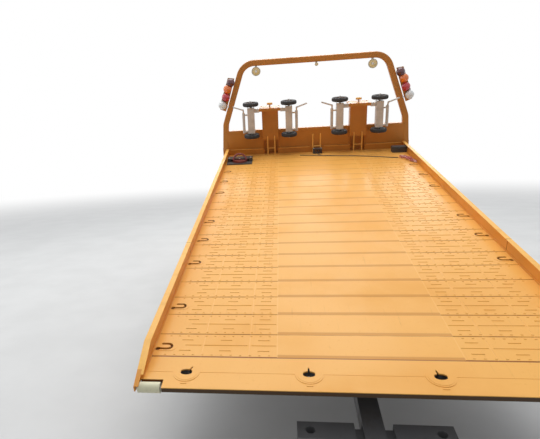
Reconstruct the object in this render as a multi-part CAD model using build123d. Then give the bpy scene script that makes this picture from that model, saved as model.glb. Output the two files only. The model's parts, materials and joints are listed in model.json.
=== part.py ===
from build123d import *
import os
from math import atan2, cos, degrees, hypot, radians, sin

# Flatbed tow truck: a light cab-over lorry with a sliding, tilting deck, parked with the deck
# slid back and tipped. Millimetres and degrees. While it is modelled, x is to the right, y is
# forward from the rear axle and z is up from the ground.

# Wheels and axles
wheelbase = 3360
tyre_radius = 380
tyre_width = 205
rim_radius = 203
rim_width = 160
rim_wall = 16
rim_lip = 14
front_wheel_x = 765
kingpin_x = 650
kingpin_radius = 16
spindle_radius = 25
twin_x = (640, 880)
rear_spindle_radius = 40
running_fit = 0.05

# Cab
cab_back = wheelbase - 510
cab_length = 1500
cab_front = cab_back + cab_length
cab_half = 950
roof_half = cab_half - 70
roof_z = 2020
floor_z = 830
waist_z = 1320
cab_wall = 45
door_gap = 6
bumper_front = cab_front + 60
bumper_wall = 45
tow_x = 575
tow_z = 497
tow_radius = 22

# Chassis
rail_outer = 370
rail_width = 60
rail_wall = 8
rail_bottom = 520
rail_depth = 180
rail_top = rail_bottom + rail_depth
rail_rear = -1300
rail_front = cab_front - 120
pivot_y = -1250
pivot_z = 780
pivot_radius = 30

# Deck, measured from its rear edge forward and from its top face up
tilt_at_rest = 14
tail_y = -1665
deck_height = 240
deck_half = 1100
deck_length = 4356
platform_length = 284
bed_front = deck_length + platform_length
plate = 6
rail_height = 82
rail_thick = 22
side_depth = 120
side_flange = 50
taper_length = 360
floor_half = deck_half - rail_thick
seam_pitch = 192
last_seam = 228
tail_depth = (26, 56)
keyhole_outer = deck_half - 232
keyhole_x = (-keyhole_outer, -keyhole_outer / 3, keyhole_outer / 3, keyhole_outer)
keyhole_turn = (-34, 0, 14, 34)
keyhole_y = 111
keyhole_radius = 28
disc_radius = 65
disc_rise = 2
lashing_x = deck_half - 48
lashing_radius = 13
lashing_planks = (0.41, 2.44, 5.43, 7.47, 9.46, 13.46, 15.44, 17.40)
roller_radius = 25
roller_x = (deck_half - 122, deck_half - 15)
roller_y = 26
roller_z = -22
notch_depth = 56

# Sliding frame under the deck, measured from its pivot
slider_x = (240, 330)
slider_half = 50
slider_rear = -150
slider_front = 3250
slider_wall = 8
slider_boss = 46
pad = 8
slide_gap = 0.5
slide_travel = (1029, 1271)
barrel_z = 90
barrel_radius = 35
barrel_bore = 29
rod_radius = 20

# Tilt cylinders
foot_y = 500
foot_z = -250
eye_y = 1450
eye_z = -20
cylinder_x = 170
foot_radius = 26
eye_pin = 15
eye_bore = 26
eye_radius = 40

# Under-lift
boom_hinge_y = -200
boom_hinge_z = -50
boom_pin = 20
boom_half = 60
boom_wall = 8
boom_end = -1100
arm_half = 48
arm_start = -620
head_y = -1650
head_half = 350
head_depth = 110
lift_socket_x = 290
lift_socket_radius = 22

# Head of the deck
head_height = 308
post_x = 532
dolly_offset = 230
dolly_y = deck_length - 106
dolly_wheel_z = (257, 645)
winch_y = deck_length + 150
winch_z = 115

# Where the deck's rear edge stands
tilt_sin = sin(radians(tilt_at_rest))
tilt_cos = cos(radians(tilt_at_rest))
rear_edge = pivot_y + tail_y * tilt_cos - deck_height * tilt_sin
middle_y = (rear_edge + bumper_front) / 2

# Places: the truck centred on its length, the tipped frame and the deck on it
centre = Pos(0, -middle_y, 0)
tilted = Pos(0, pivot_y, pivot_z) * Rot(tilt_at_rest, 0, 0)
bed_at = tilted * Pos(0, tail_y, deck_height)
ground = Location()


def block(x, y, z):
    sizes = (x[1] - x[0], y[1] - y[0], z[1] - z[0])
    return Pos((x[0] + x[1]) / 2, (y[0] + y[1]) / 2, (z[0] + z[1]) / 2) * Box(*sizes)


def around(middle, half):
    return (middle - half, middle + half)


def side_slab(outline, x):
    # outline of (y, z) points, from x[0] to x[1]
    face = make_face(Polyline(*[(x[0], y, z) for y, z in outline], close=True))
    return extrude(face, amount=x[1] - x[0], dir=(1, 0, 0))


def cross_slab(outline, y):
    # outline of (x, z) points, from y[0] to y[1]
    face = make_face(Polyline(*[(x, y[0], z) for x, z in outline], close=True))
    return extrude(face, amount=y[1] - y[0], dir=(0, 1, 0))


def rod(start, end, radius):
    axis = Vector(*end) - Vector(*start)
    return extrude(Plane(origin=start, z_dir=axis) * Circle(radius), amount=axis.length)


def cross_rod(x, y, z, radius):
    return rod((x[0], y, z), (x[1], y, z), radius)


def long_rod(x, y, z, radius):
    return rod((x, y[0], z), (x, y[1], z), radius)


def both(shape):
    return Part() + [shape, mirror(shape, Plane.YZ)]


def save(node, shape, place=ground):
    export_step(centre * place * shape, f"parts/{node}.step")


os.makedirs("parts", exist_ok=True)


# Chassis frame: two channel rails, cross members, pivot brackets and spring hangers
member_y = (rail_rear + 160, 900, wheelbase - 1460, wheelbase - 1110, rail_front - 40)
member_half = 30
member_depth = 70
bracket_gap = 6
bracket_thick = 20
bracket_reach = 60
bracket_rise = 45
hanger_reach = 485
hanger_half = 45
hanger_y = (620, -620)
hanger_z = (rail_top - 140, rail_top - 60)


def chassis_frame():
    rail_x = (rail_outer - rail_width, rail_outer)
    web = rail_outer - rail_wall
    rail = block(rail_x, (rail_rear, rail_front), (rail_bottom, rail_top))
    inside = (rail_x[0] - rail_wall, web)
    rail -= block(inside, (rail_rear - 1, rail_front + 1), (rail_bottom + rail_wall, rail_top - rail_wall))
    bracket_x = (slider_x[1] + bracket_gap, slider_x[1] + bracket_gap + bracket_thick)
    bracket_z = (rail_bottom + rail_wall, pivot_z + bracket_rise)
    frame = rail + block(bracket_x, around(pivot_y, bracket_reach), bracket_z)
    frame += cross_rod((slider_x[0] - 10, bracket_x[1]), pivot_y, pivot_z, pivot_radius)
    for y in hanger_y:
        frame += block((web, hanger_reach), around(y, hanger_half), hanger_z)
    frame = both(frame)
    member_top = rail_top - rail_wall
    for y in member_y:
        frame += block((-web, web), around(y, member_half), (member_top - member_depth, member_top))
    return frame + cross_rod((-web - 4, web + 4), pivot_y + foot_y, pivot_z + foot_z, foot_radius)


save("chassis_frame", chassis_frame())


# Tyres and rims, turned about their axle
bead_x = rim_width / 2 - rim_lip
tread_half = tyre_width / 2
sidewall = (
    (bead_x, rim_radius), (tread_half - 4.5, rim_radius + 47), (tread_half, tyre_radius - 70),
    (tread_half - 12.5, tyre_radius - 14), (tread_half - 28.5, tyre_radius),
)
hub_radius = 62
rear_hub_radius = 95
hand_hole = 20
hand_hole_at = 146
disc_thick = 10
disc_flat = 105


def turned(outline):
    # outline of (x, radius) points
    return revolve(make_face(Polyline(*[(x, 0, r) for x, r in outline], close=True)), Axis.X)


def tyre(x):
    outline = [(x - half, r) for half, r in sidewall] + [(x + half, r) for half, r in reversed(sidewall)]
    return turned(outline)


def rim(x, disc_from, disc_to, bore):
    # barrel centred on x, with a dished disc from the barrel at disc_from to the hub at disc_to
    inner = rim_radius - rim_wall
    edge = rim_width / 2
    barrel = turned([
        (x - bead_x, rim_radius), (x - edge, rim_radius + rim_lip), (x - edge, inner), (x + edge, inner),
        (x + edge, rim_radius + rim_lip), (x + bead_x, rim_radius),
    ])
    disc = turned([
        (disc_from, inner + 4), (disc_from + disc_thick, inner + 4), (disc_to + disc_thick, disc_flat),
        (disc_to + disc_thick, bore), (disc_to, bore), (disc_to, disc_flat),
    ])
    hole = Pos((disc_from + disc_to) / 2, 0, hand_hole_at) * Rot(0, 90, 0) * Cylinder(hand_hole, rim_width)
    for turn in range(0, 360, 60):
        disc -= Rot(turn, 0, 0) * hole
    return barrel + disc


twin_middle = sum(twin_x) / 2
front_wheel_at = Pos(0, wheelbase, tyre_radius)
rear_wheel_at = Pos(0, 0, tyre_radius)
for side, flip in (("left", Rot(0, 0, 180)), ("right", ground)):
    front_rim = rim(front_wheel_x, front_wheel_x - 20, front_wheel_x + 25, hub_radius - 5)
    hub = cross_rod((front_wheel_x - 32, front_wheel_x + 40), 0, 0, hub_radius)
    hub -= cross_rod((front_wheel_x - 60, front_wheel_x + 20), 0, 0, spindle_radius + running_fit)
    save(f"front_rim_{side}", flip * (front_rim + hub), front_wheel_at)
    save(f"front_tyre_{side}", flip * tyre(front_wheel_x), front_wheel_at)
    twins = rim(twin_x[0], twin_x[0] + 62, twin_middle - disc_thick, rear_hub_radius - 5)
    twins += rim(twin_x[1], twin_x[1] - 62 - disc_thick, twin_middle, rear_hub_radius - 5)
    hub = cross_rod((twin_middle - 140, twin_middle + 110), 0, 0, rear_hub_radius)
    hub -= cross_rod((twin_middle - 141, twin_middle + 90), 0, 0, rear_spindle_radius + running_fit)
    save(f"rear_rims_{side}", flip * (twins + hub), rear_wheel_at)
    save(f"rear_tyres_{side}", flip * (tyre(twin_x[0]) + tyre(twin_x[1])), rear_wheel_at)


# Axles with their leaf springs, and the front knuckles
axle_tube = 52
axle_half = 590
differential = 160
rear_spring_x = (415, 485)
front_spring_x = (350, 420)
rear_spring = (62, 640, 112)
front_spring = (56, 540, 122)
leaf_end = 18
beam_drop = 84
beam_top = 14
beam_half = 35
kingpin_eye = 38
kingpin_length = 136
eye_height = 80


def leaf_spring(x, bottom, thick, half, rise):
    # a bow of leaves, lowest and thickest over the axle, its ends higher by the rise
    ends = bottom + rise
    low = ThreePointArc((x[0], -half, ends), (x[0], 0, bottom), (x[0], half, ends))
    front = Line((x[0], half, ends), (x[0], half, ends + leaf_end))
    tips = ends + leaf_end
    high = ThreePointArc((x[0], half, tips), (x[0], 0, bottom + thick), (x[0], -half, tips))
    back = Line((x[0], -half, tips), (x[0], -half, ends))
    return extrude(make_face(low + front + high + back), amount=x[1] - x[0], dir=(1, 0, 0))


def rear_axle():
    axle = cross_rod((-axle_half, axle_half), 0, tyre_radius, axle_tube)
    axle += Pos(0, 0, tyre_radius) * Sphere(differential)
    axle += cross_rod((-twin_middle - 85, twin_middle + 85), 0, tyre_radius, rear_spindle_radius)
    return axle + both(leaf_spring(rear_spring_x, tyre_radius + axle_tube - 2, *rear_spring))


def front_axle():
    z = tyre_radius
    neck = kingpin_x - 50
    high = z + eye_height / 2
    low = z - eye_height / 2
    beam = cross_slab([
        (-kingpin_x, low), (-neck, low), (130 - neck, z - beam_drop), (neck - 130, z - beam_drop),
        (neck, low), (kingpin_x, low), (kingpin_x, high), (neck, high), (neck - 170, z - beam_top),
        (170 - neck, z - beam_top), (-neck, high), (-kingpin_x, high),
    ], (-beam_half, beam_half))
    kingpin = Cylinder(kingpin_eye, eye_height) + Cylinder(kingpin_radius, kingpin_length)
    beam += both(Pos(kingpin_x, 0, z) * kingpin)
    return beam + both(leaf_spring(front_spring_x, z - beam_top, *front_spring))


def knuckle():
    z = tyre_radius
    gap = eye_height / 2 + 6
    high = gap + 24
    face = kingpin_x + 50
    fork = block((kingpin_x - 38, face + 6), around(0, beam_half + 1), around(z, high))
    fork -= block((kingpin_x - 50, face - 6), around(0, beam_half + 5), around(z, gap))
    fork -= Pos(kingpin_x, 0, z) * Cylinder(kingpin_radius + running_fit, kingpin_length + 64)
    fork += cross_rod((face, face + 27), 0, z, hub_radius - 4)
    fork += cross_rod((face, front_wheel_x + 15), 0, z, spindle_radius)
    return fork + block(around(kingpin_x - 10, 24), (-170, 5 - beam_half), (z - high, z - high + 22))


front_axle_at = Pos(0, wheelbase, 0)
save("rear_axle", rear_axle())
save("front_axle", front_axle(), front_axle_at)
save("knuckle_right", knuckle(), front_axle_at)
save("knuckle_left", mirror(knuckle(), Plane.YZ), front_axle_at)


# Engine with gearbox, and the shaft with its silencer
engine_half = 270
engine_y = (cab_back + 150, cab_back + 930)
engine_z = (430, 950)
gearbox_half = 140
gearbox_y = (cab_back - 490, cab_back + 150)
gearbox_z = (440, 760)
shaft_radius = 38
exhaust_x = -290
exhaust_z = 430
silencer_y = (1250, 1850)
silencer_radius = 90
pipe_radius = 28


def engine():
    gearbox = block(around(0, gearbox_half), gearbox_y, gearbox_z)
    return block(around(0, engine_half), engine_y, engine_z) + gearbox


def driveline():
    shaft = rod((0, gearbox_y[0] - 6, 575), (0, 100, 400), shaft_radius)
    shaft -= Pos(0, 0, tyre_radius) * Sphere(differential)
    exhaust = long_rod(exhaust_x, silencer_y, exhaust_z, silencer_radius)
    exhaust += long_rod(exhaust_x, (300, cab_back + 50), exhaust_z, pipe_radius)
    return Part() + [shaft, exhaust]


save("engine", engine())
save("driveline", driveline())


# Cab: the form common to its side, front and plan views, hollowed to the thickness of its walls
side_outline = (
    (cab_back, floor_z), (cab_back, roof_z - 120), (cab_back + 90, roof_z), (cab_front - 520, roof_z),
    (cab_front - 420, roof_z - 40), (cab_front - 100, waist_z), (cab_front - 20, 1150), (cab_front, 1080),
    (cab_front, 640), (cab_front - 60, 620), (cab_front - 110, floor_z),
)
front_half = (
    (cab_half, 400), (cab_half, waist_z - 20), (roof_half + 10, roof_z - 120), (roof_half - 110, roof_z),
)
plan_half = (
    (cab_half, cab_back), (cab_half, cab_front - 190), (cab_half - 60, cab_front - 80),
    (cab_half - 200, cab_front),
)
door_outline = (
    (cab_front - 210, 600), (cab_front - 210, waist_z - 10), (cab_front - 470, roof_z - 110),
    (cab_front - 1020, roof_z - 110), (cab_front - 1020, 900), (cab_front - 620, 900),
    (cab_front - 520, 700), (cab_front - 520, 600),
)
door_window = (
    (cab_front - 290, waist_z), (cab_front - 500, roof_z - 160), (cab_front - 950, roof_z - 160),
    (cab_front - 950, waist_z),
)
windscreen_half = ((cab_half - 160, waist_z + 50), (cab_half - 210, roof_z - 90))
rear_window_half = ((560, waist_z + 60), (540, roof_z - 160))
glass_depth = (14, 20)
door_x = (cab_half - 170, cab_half + 50)
well_x = (cab_half - 260, cab_half)
well_y = (cab_front - 510, cab_front - 120)
well_z = (450, floor_z + 1)
well_wall = 50
tunnel_half = 360
tunnel_wall = 35
tunnel_z = (floor_z, floor_z + 190)
handle_y = (cab_front - 980, cab_front - 840)
handle_z = (1210, 1234)
handle_rise = 16


def mirrored_outline(half):
    return [(-x, z) for x, z in half] + [(x, z) for x, z in reversed(half)]


def cab_form(inset):
    def view(plane, outline):
        sheet = plane * make_face(Polyline(*outline, close=True))
        return offset(sheet, -inset, kind=Kind.INTERSECTION) if inset else sheet

    long_way = extrude(view(Plane.YZ, side_outline), 2 * cab_half, both=True)
    cross_way = extrude(view(Plane.XZ, mirrored_outline(front_half)), 2 * cab_front, both=True)
    up_way = extrude(view(Plane.XY, mirrored_outline(plan_half)), 2 * roof_z, both=True)
    return long_way & cross_way & up_way


def door_slab(inset, skirt_wall):
    sheet = Plane.YZ * make_face(Polyline(*door_outline, close=True))
    if inset:
        sheet = offset(sheet, -inset, kind=Kind.INTERSECTION)
    slab = extrude(Pos(door_x[0], 0, 0) * sheet, amount=door_x[1] - door_x[0], dir=(1, 0, 0))
    return slab - block((0, skirt_wall), (cab_back, cab_front), (0, floor_z + cab_wall))


outer_form = cab_form(0)
shell = outer_form - cab_form(cab_wall)
pane = cab_form(glass_depth[0]) - cab_form(glass_depth[1])
window_prism = side_slab(door_window, door_x)
front_prism = cross_slab(mirrored_outline(windscreen_half), (cab_front - 650, cab_front + 50))
back_prism = cross_slab(mirrored_outline(rear_window_half), (cab_back - 50, cab_back + 100))


def cab_shell():
    well = block(well_x, well_y, well_z)
    inner_y = (well_y[0] + 40, well_y[1] - 40)
    well -= block((well_x[0] + well_wall, well_x[1] + 1), inner_y, (well_z[0] + 150, well_z[1] + 1))
    cab = shell + both(well)
    tunnel_y = (cab_back, cab_front - 450)
    cab += block(around(0, tunnel_half), tunnel_y, tunnel_z) & outer_form
    inside = (cab_back - 1, tunnel_y[1] - tunnel_wall)
    cab -= block(around(0, tunnel_half - tunnel_wall), inside, (floor_z - 1, tunnel_z[1] - tunnel_wall))
    cab -= both(door_slab(0, cab_half - cab_wall - 5))
    return cab - front_prism - back_prism


def door():
    skirt_y = (cab_front - 550, cab_front - 150)
    skirt = block((cab_half - cab_wall, cab_half), skirt_y, (600, floor_z + cab_wall))
    # the closing edge has twice the gap, so that it swings clear of the pillar
    closing_edge = cab_front - 1020 + 2 * door_gap
    leaf = (shell + skirt) & door_slab(door_gap, cab_half - cab_wall)
    leaf -= block(door_x, (closing_edge - 2 * door_gap, closing_edge), (floor_z, roof_z))
    grip = block((cab_half - 2, cab_half + handle_rise), handle_y, handle_z)
    recess = (cab_half - 3, cab_half + handle_rise - 8)
    grip -= block(recess, (handle_y[0] + 20, handle_y[1] - 20), (handle_z[0] - 1, handle_z[1] + 1))
    return leaf - window_prism + grip


def door_pane():
    return pane & window_prism


save("cab_shell", cab_shell())
save("cab_glass", (pane & front_prism) + (pane & back_prism))
save("door_right", door())
save("door_left", mirror(door(), Plane.YZ))
save("door_glass_right", door_pane())
save("door_glass_left", mirror(door_pane(), Plane.YZ))


# Cab fittings
dash_back = cab_front - 450
dash_outline = (
    (dash_back, floor_z + 190), (dash_back + 330, floor_z + 190), (dash_back + 270, waist_z + 10),
    (dash_back + 60, waist_z + 40), (dash_back, waist_z - 40),
)
seat_outer = cab_half - 150
column_x = 210 - seat_outer
column_start = (column_x, dash_back + 60, 1230)
column_end = (column_x, dash_back - 120, 1400)
column_radius = 14
wheel_radius = 205
wheel_rim = 14
seat_x = (
    (-seat_outer, 420 - seat_outer), (520 - seat_outer, seat_outer - 520), (seat_outer - 420, seat_outer),
)
seat_base = (floor_z + cab_wall, tunnel_z[1], floor_z + cab_wall)
cushion_y = (cab_back + 190, cab_back + 670)
cushion_top = 1170
backrest = (
    (cab_back + 110, cushion_top), (cab_back + 270, cushion_top), (cab_back + 190, roof_z - 280),
    (cab_back + 80, roof_z - 280),
)


def cab_fittings():
    dash = side_slab(dash_outline, around(0, cab_half - 100))
    parts = [dash + rod(column_start, column_end, column_radius)]
    for ends, base in zip(seat_x, seat_base):
        parts.append(block(ends, cushion_y, (base, cushion_top)) + side_slab(backrest, ends))
    return Part() + parts


def steering_wheel():
    place = Plane(origin=column_end, z_dir=Vector(*column_end) - Vector(*column_start))
    wheel = place * (Pos(0, 0, 10) * Torus(wheel_radius - wheel_rim, wheel_rim))
    wheel += extrude(place * Circle(40), amount=30)
    spoke = Pos(100, 0) * Rectangle(180, 30)
    for turn in (0, 90, 180):
        wheel += extrude(place * (Rot(0, 0, turn) * spoke), amount=wheel_rim)
    return wheel - rod(column_start, column_end, column_radius + running_fit)


save("cab_fittings", cab_fittings())
save("steering_wheel", steering_wheel())


# Front end: bumper, lamps with the grille between them, and mirrors
bumper_half = cab_half - 10
bumper_y = (cab_front - 100, bumper_front)
bumper_z = (385, 608)
intake_half = 420
intake_z = (450, 500)
intake_height = 26
bumper_arm_x = (300, 360)
lamp_x = (cab_half - 390, cab_half - 160)
lamp_z = (660, 830)
indicator_z = (850, 890)
grille_half = 520
grille_z = (700, 750, 800, 850)
grille_bar = 24
mirror_x = (cab_half + 60, cab_half + 190)
mirror_y = (cab_front - 185, cab_front - 115)
mirror_z = (1400, 1700)
mirror_arm = 12
mirror_arms = (
    ((cab_half - 90, cab_front - 350, mirror_z[1] + 40), mirror_z[1] - 20),
    ((cab_half - 50, cab_front - 210, mirror_z[0] - 50), mirror_z[0] + 20),
)


def front_bumper():
    bar = block(around(0, bumper_half), bumper_y, bumper_z)
    hollow = (bumper_y[0] - 50, bumper_front - bumper_wall)
    bar -= block(around(0, bumper_half - 40), hollow, (bumper_z[0] - 5, bumper_z[1] + 12))
    for z in intake_z:
        bar -= block(around(0, intake_half), (bumper_y[0], bumper_front + 1), (z, z + intake_height))
    bar += both(block(bumper_arm_x, (rail_front, hollow[1] + 1), (540, 600)))
    return bar - both(long_rod(tow_x, (hollow[1] - 5, bumper_front + 1), tow_z, tow_radius))


def front_lamps():
    lamp = block(lamp_x, (cab_front, cab_front + 24), lamp_z)
    lamp = fillet(lamp.edges().filter_by(Axis.Y), 30)
    parts = [both(lamp), both(block(lamp_x, (cab_front, cab_front + 16), indicator_z))]
    for z in grille_z:
        parts.append(block(around(0, grille_half), (cab_front, cab_front + 20), (z, z + grille_bar)))
    return Part() + parts


def mirrors():
    housing = block(mirror_x, mirror_y, mirror_z)
    housing = fillet(housing.edges().filter_by(Axis.Z), 22)
    middle = (sum(mirror_x) / 2, sum(mirror_y) / 2)
    for start, end_z in mirror_arms:
        bend = (*middle, start[2])
        path = FilletPolyline(start, bend, (*middle, end_z), radius=30)
        housing += sweep(Plane(origin=start, z_dir=path % 0) * Circle(mirror_arm), path=path) - outer_form
    return both(housing)


save("front_bumper", front_bumper())
save("front_lamps", front_lamps())
save("mirrors", mirrors())


# Side fittings: tank, boxes, guard, mudguards and the tail lamp bar
bracket_x = (rail_outer, 440)
bracket_z = (560, 640)
box_inner = bracket_x[1] - 10
tank_outer = 900
tank_y = (wheelbase - 1800, wheelbase - 1080)
tank_z = (400, 720)
tank_corner = 50
tank_strap = 120
battery_outer = 880
battery_y = (wheelbase - 1460, wheelbase - 1060)
battery_z = (430, 700)
battery_foot = 50
tools_outer = 960
tools_y = (900, wheelbase - 1660)
tools_z = (400, 740)
tools_foot = 100
guard_x = (960, 985)
guard_y = (560, wheelbase - 1860)
guard_bar_z = (430, 560)
guard_bar = 70
guard_stay_y = (guard_y[0] + 140, guard_y[1] - 100)
stay_half = 25
guard_radius = 440
guard_thick = 8
guard_foot = 60
rear_guard_x = (525, 1000)
stay_x = (rail_outer, rear_guard_x[0] + 15)
stay_z = (640, 690)
flap_x = (540, 980)
flap_y = (-470, -462)
flap_z = (160, 470)
arch_x = (655, 930)
arch_radius = (446, 452)
lamp_bar_half = 880
lamp_bar_y = (-1420, -1370)
lamp_bar_z = (440, 570)
lamp_stay_z = (525, 570)
tail_lamp_x = (600, 700, 800)
tail_lamp_size = (80, 26, 80)


def fuel_tank():
    tank = block((box_inner, tank_outer), tank_y, tank_z)
    tank = fillet(tank.edges().filter_by(Axis.Y), tank_corner)
    for y in (tank_y[0] + tank_strap, tank_y[1] - tank_strap):
        tank += block(bracket_x, around(y, stay_half), bracket_z)
    return tank


def side_boxes():
    left_x = (-bracket_x[1], -bracket_x[0])
    battery = block((-battery_outer, -box_inner), battery_y, battery_z)
    battery += block(left_x, around(sum(battery_y) / 2, battery_foot), bracket_z)
    tools = block((-tools_outer, -box_inner), tools_y, tools_z)
    tools += block(left_x, around(sum(tools_y) / 2, tools_foot), bracket_z)
    return Part() + [battery, tools]


def side_guards():
    bars = Part()
    for z in guard_bar_z:
        bars += block(guard_x, guard_y, (z, z + guard_bar))
    for y in guard_stay_y:
        ends = around(y, stay_half)
        bars += block((guard_x[0] - 20, guard_x[0] + 1), ends, (guard_bar_z[0], guard_bar_z[1] + 100))
        bars += block((rail_outer, guard_x[0]), ends, (600, 650))
    return bars


def wheel_arch(x, outer, inner, y, z):
    # part of a ring round an axle's centre, between heights z over the axle
    ring = cross_rod(x, 0, 0, outer) - cross_rod((x[0] - 1, x[1] + 1), 0, 0, inner)
    return Pos(0, 0, tyre_radius) * (ring & block((x[0] - 1, x[1] + 1), y, z))


def mudguards():
    whole = around(0, guard_radius + 10)
    inner = guard_radius - guard_thick
    guard = wheel_arch(rear_guard_x, guard_radius, inner, whole, (guard_foot, guard_radius))
    for y in (-310, 310):
        guard += block(stay_x, around(y, 20), stay_z)
    guard += block(flap_x, flap_y, flap_z)
    guard += block(flap_x, (flap_y[1], flap_y[1] + 32), (flap_z[1] - 30, flap_z[1]))
    under_cab = (guard_foot, floor_z - tyre_radius)
    arch = wheel_arch(arch_x, arch_radius[1], arch_radius[0], whole, under_cab)
    return both(guard) + Pos(0, wheelbase, 0) * both(arch)


def tail_lamps():
    bar = block(around(0, lamp_bar_half), lamp_bar_y, lamp_bar_z)
    stay_y = (lamp_bar_y[1] - 1, pivot_y - bracket_reach)
    bar += both(block((rail_outer - rail_width, rail_outer - 10), stay_y, lamp_stay_z))
    width, depth, height = tail_lamp_size
    lamp_y = (lamp_bar_y[0] - depth + 1, lamp_bar_y[0] + 1)
    for x in tail_lamp_x:
        bar += both(block((x, x + width), lamp_y, around(sum(lamp_bar_z) / 2, height / 2)))
    return bar


save("fuel_tank", fuel_tank())
save("side_boxes", side_boxes())
save("side_guards", side_guards())
save("mudguards", mudguards())
save("tail_lamps", tail_lamps())


# Sliding frame with the cylinder that pushes the deck
sill_x = (slider_x[0] + 10, slider_x[1] - 10)
slider_member_y = (-90, 450, 950, 1750, 2500, 3200)
slider_member_z = (-20, 40)
cheek_x = (90, 110)
barrel_end = (20, 250 + sum(slide_travel))
saddle_half = (50, 30)
saddle_top = barrel_z - 12


def tilt_frame():
    rail = block(slider_x, (slider_rear, slider_front), around(0, slider_half))
    inner = (slider_x[0] + slider_wall, slider_x[1] - slider_wall)
    rail -= block(inner, (slider_rear - 1, slider_front + 1), around(0, slider_half - slider_wall))
    rail += cross_rod(slider_x, 0, 0, slider_boss)
    rail -= cross_rod((slider_x[0] - 1, slider_x[1] + 1), 0, 0, pivot_radius + running_fit)
    rail += block(sill_x, (slider_rear, slider_front), (slider_half, slider_half + pad))
    frame = both(rail)
    for y in slider_member_y:
        frame += block(around(0, slider_x[0]), around(y, member_half), slider_member_z)
    frame += cross_rod((-slider_x[0] - 4, slider_x[0] + 4), eye_y, eye_z, eye_pin)
    cheek = block(cheek_x, (boom_hinge_y - 55, slider_rear + 40), (boom_hinge_z - 45, 20))
    return frame + both(cheek) + cross_rod((-cheek_x[1], cheek_x[1]), boom_hinge_y, boom_hinge_z, boom_pin)


def slide_barrel():
    start, end = barrel_end
    tube = long_rod(0, barrel_end, barrel_z, barrel_radius)
    for y in slider_member_y[1:-1]:
        tube += block(around(0, saddle_half[0]), around(y, saddle_half[1]), (slider_member_z[1], saddle_top))
    tube -= long_rod(0, (start + 30, end - 20), barrel_z, barrel_bore)
    return tube - long_rod(0, (start - 1, start + 31), barrel_z, rod_radius + running_fit)


save("tilt_frame", tilt_frame(), tilted)
save("slide_barrel", slide_barrel(), tilted)


# Tilt cylinders, each a barrel hinged on the chassis and a rod that ends at the frame's pin
foot_at = (pivot_y + foot_y, pivot_z + foot_z)
eye_at = (pivot_y + eye_y * tilt_cos - eye_z * tilt_sin, pivot_z + eye_y * tilt_sin + eye_z * tilt_cos)
cylinder_run = (eye_at[0] - foot_at[0], eye_at[1] - foot_at[1])
cylinder_length = hypot(*cylinder_run)
cylinder_at = Pos(0, *foot_at) * Rot(degrees(atan2(cylinder_run[1], cylinder_run[0])), 0, 0)
tilt_barrel_y = (40, 790)
tilt_barrel_radius = 44
tilt_bore = 36
tilt_rod_radius = 24
tilt_rod_start = 330
knuckle_half = (35, 28)


def tilt_barrel():
    x = cylinder_x
    start, end = tilt_barrel_y
    tube = long_rod(x, tilt_barrel_y, 0, tilt_barrel_radius)
    tube -= long_rod(x, (start + 30, end - 30), 0, tilt_bore)
    tube -= long_rod(x, (end - 90, end + 1), 0, tilt_rod_radius + running_fit)
    tube += cross_rod(around(x, knuckle_half[0]), 0, 0, tilt_barrel_radius + 2)
    return tube - cross_rod(around(x, knuckle_half[0] + 1), 0, 0, foot_radius + running_fit)


def tilt_rod():
    x = cylinder_x
    stem = long_rod(x, (tilt_rod_start, cylinder_length - 30), 0, tilt_rod_radius)
    stem += cross_rod(around(x, knuckle_half[1]), cylinder_length, 0, eye_radius)
    return stem - cross_rod(around(x, knuckle_half[1] + 1), cylinder_length, 0, eye_bore)


save("tilt_barrels", both(tilt_barrel()), cylinder_at)
save("tilt_rods", both(tilt_rod()), cylinder_at)


# Tail of the deck: a tapered plate with four keyholes, each in a raised disc between two tabs
keyhole_slot = (10, 44)
tab = (30, 10)
tab_y = (keyhole_y - 75, keyhole_y + 58)
crease = (3, 1)
deep = 100
plank_count = int((deck_length - last_seam) / seam_pitch)
notch_x = (roller_x[0] - 10, deck_half + 1)


def seam_y(step):
    return last_seam + step * seam_pitch


def tail_plate():
    whole = around(0, floor_half)
    plate_form = [(0, -tail_depth[0]), (0, 0), (last_seam, 0), (last_seam, -tail_depth[1])]
    tail = side_slab(plate_form, whole)
    tail -= block(whole, around(keyhole_y, crease[0] / 2), (-crease[1], 1))
    half_slot, reach = keyhole_slot[0] / 2, keyhole_slot[1]
    for x in keyhole_x:
        tail += Pos(x, keyhole_y, 0) * Cylinder(disc_radius, 2 * disc_rise)
        for y in tab_y:
            tail += block(around(x, tab[0] / 2), around(y, tab[1] / 2), (-1, disc_rise))
    for x, turn in zip(keyhole_x, keyhole_turn):
        hole = Cylinder(keyhole_radius, 2 * deep) + block(around(0, half_slot), (0, reach), around(0, deep))
        tail -= Pos(x, keyhole_y, 0) * Rot(0, 0, turn) * hole
    return tail - both(block(notch_x, (-1, notch_depth), around(0, deep)))


def bed_deck():
    front = block(around(0, floor_half), (seam_y(plank_count), bed_front), (-plate, 0))
    return Part() + [tail_plate(), front]


# Planks between the seams, with two creases on each side and a slope down to the near seam in
# the middle. Eight have a lashing place at each end: a hole whose narrow slot runs in, turns
# and comes back, within a low rim
plank_gap = 1
plank_edge = (3, 2)
plank_slope = (22, 4)
slope_half = 436
crease_x = (577, 815)
slot_half = 4.5
slot_turn = (lashing_x - 51, 20)
slot_start = -17
rim_half = (60, 37)
rim_shift = 14
rim_rise = 1.5


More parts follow.
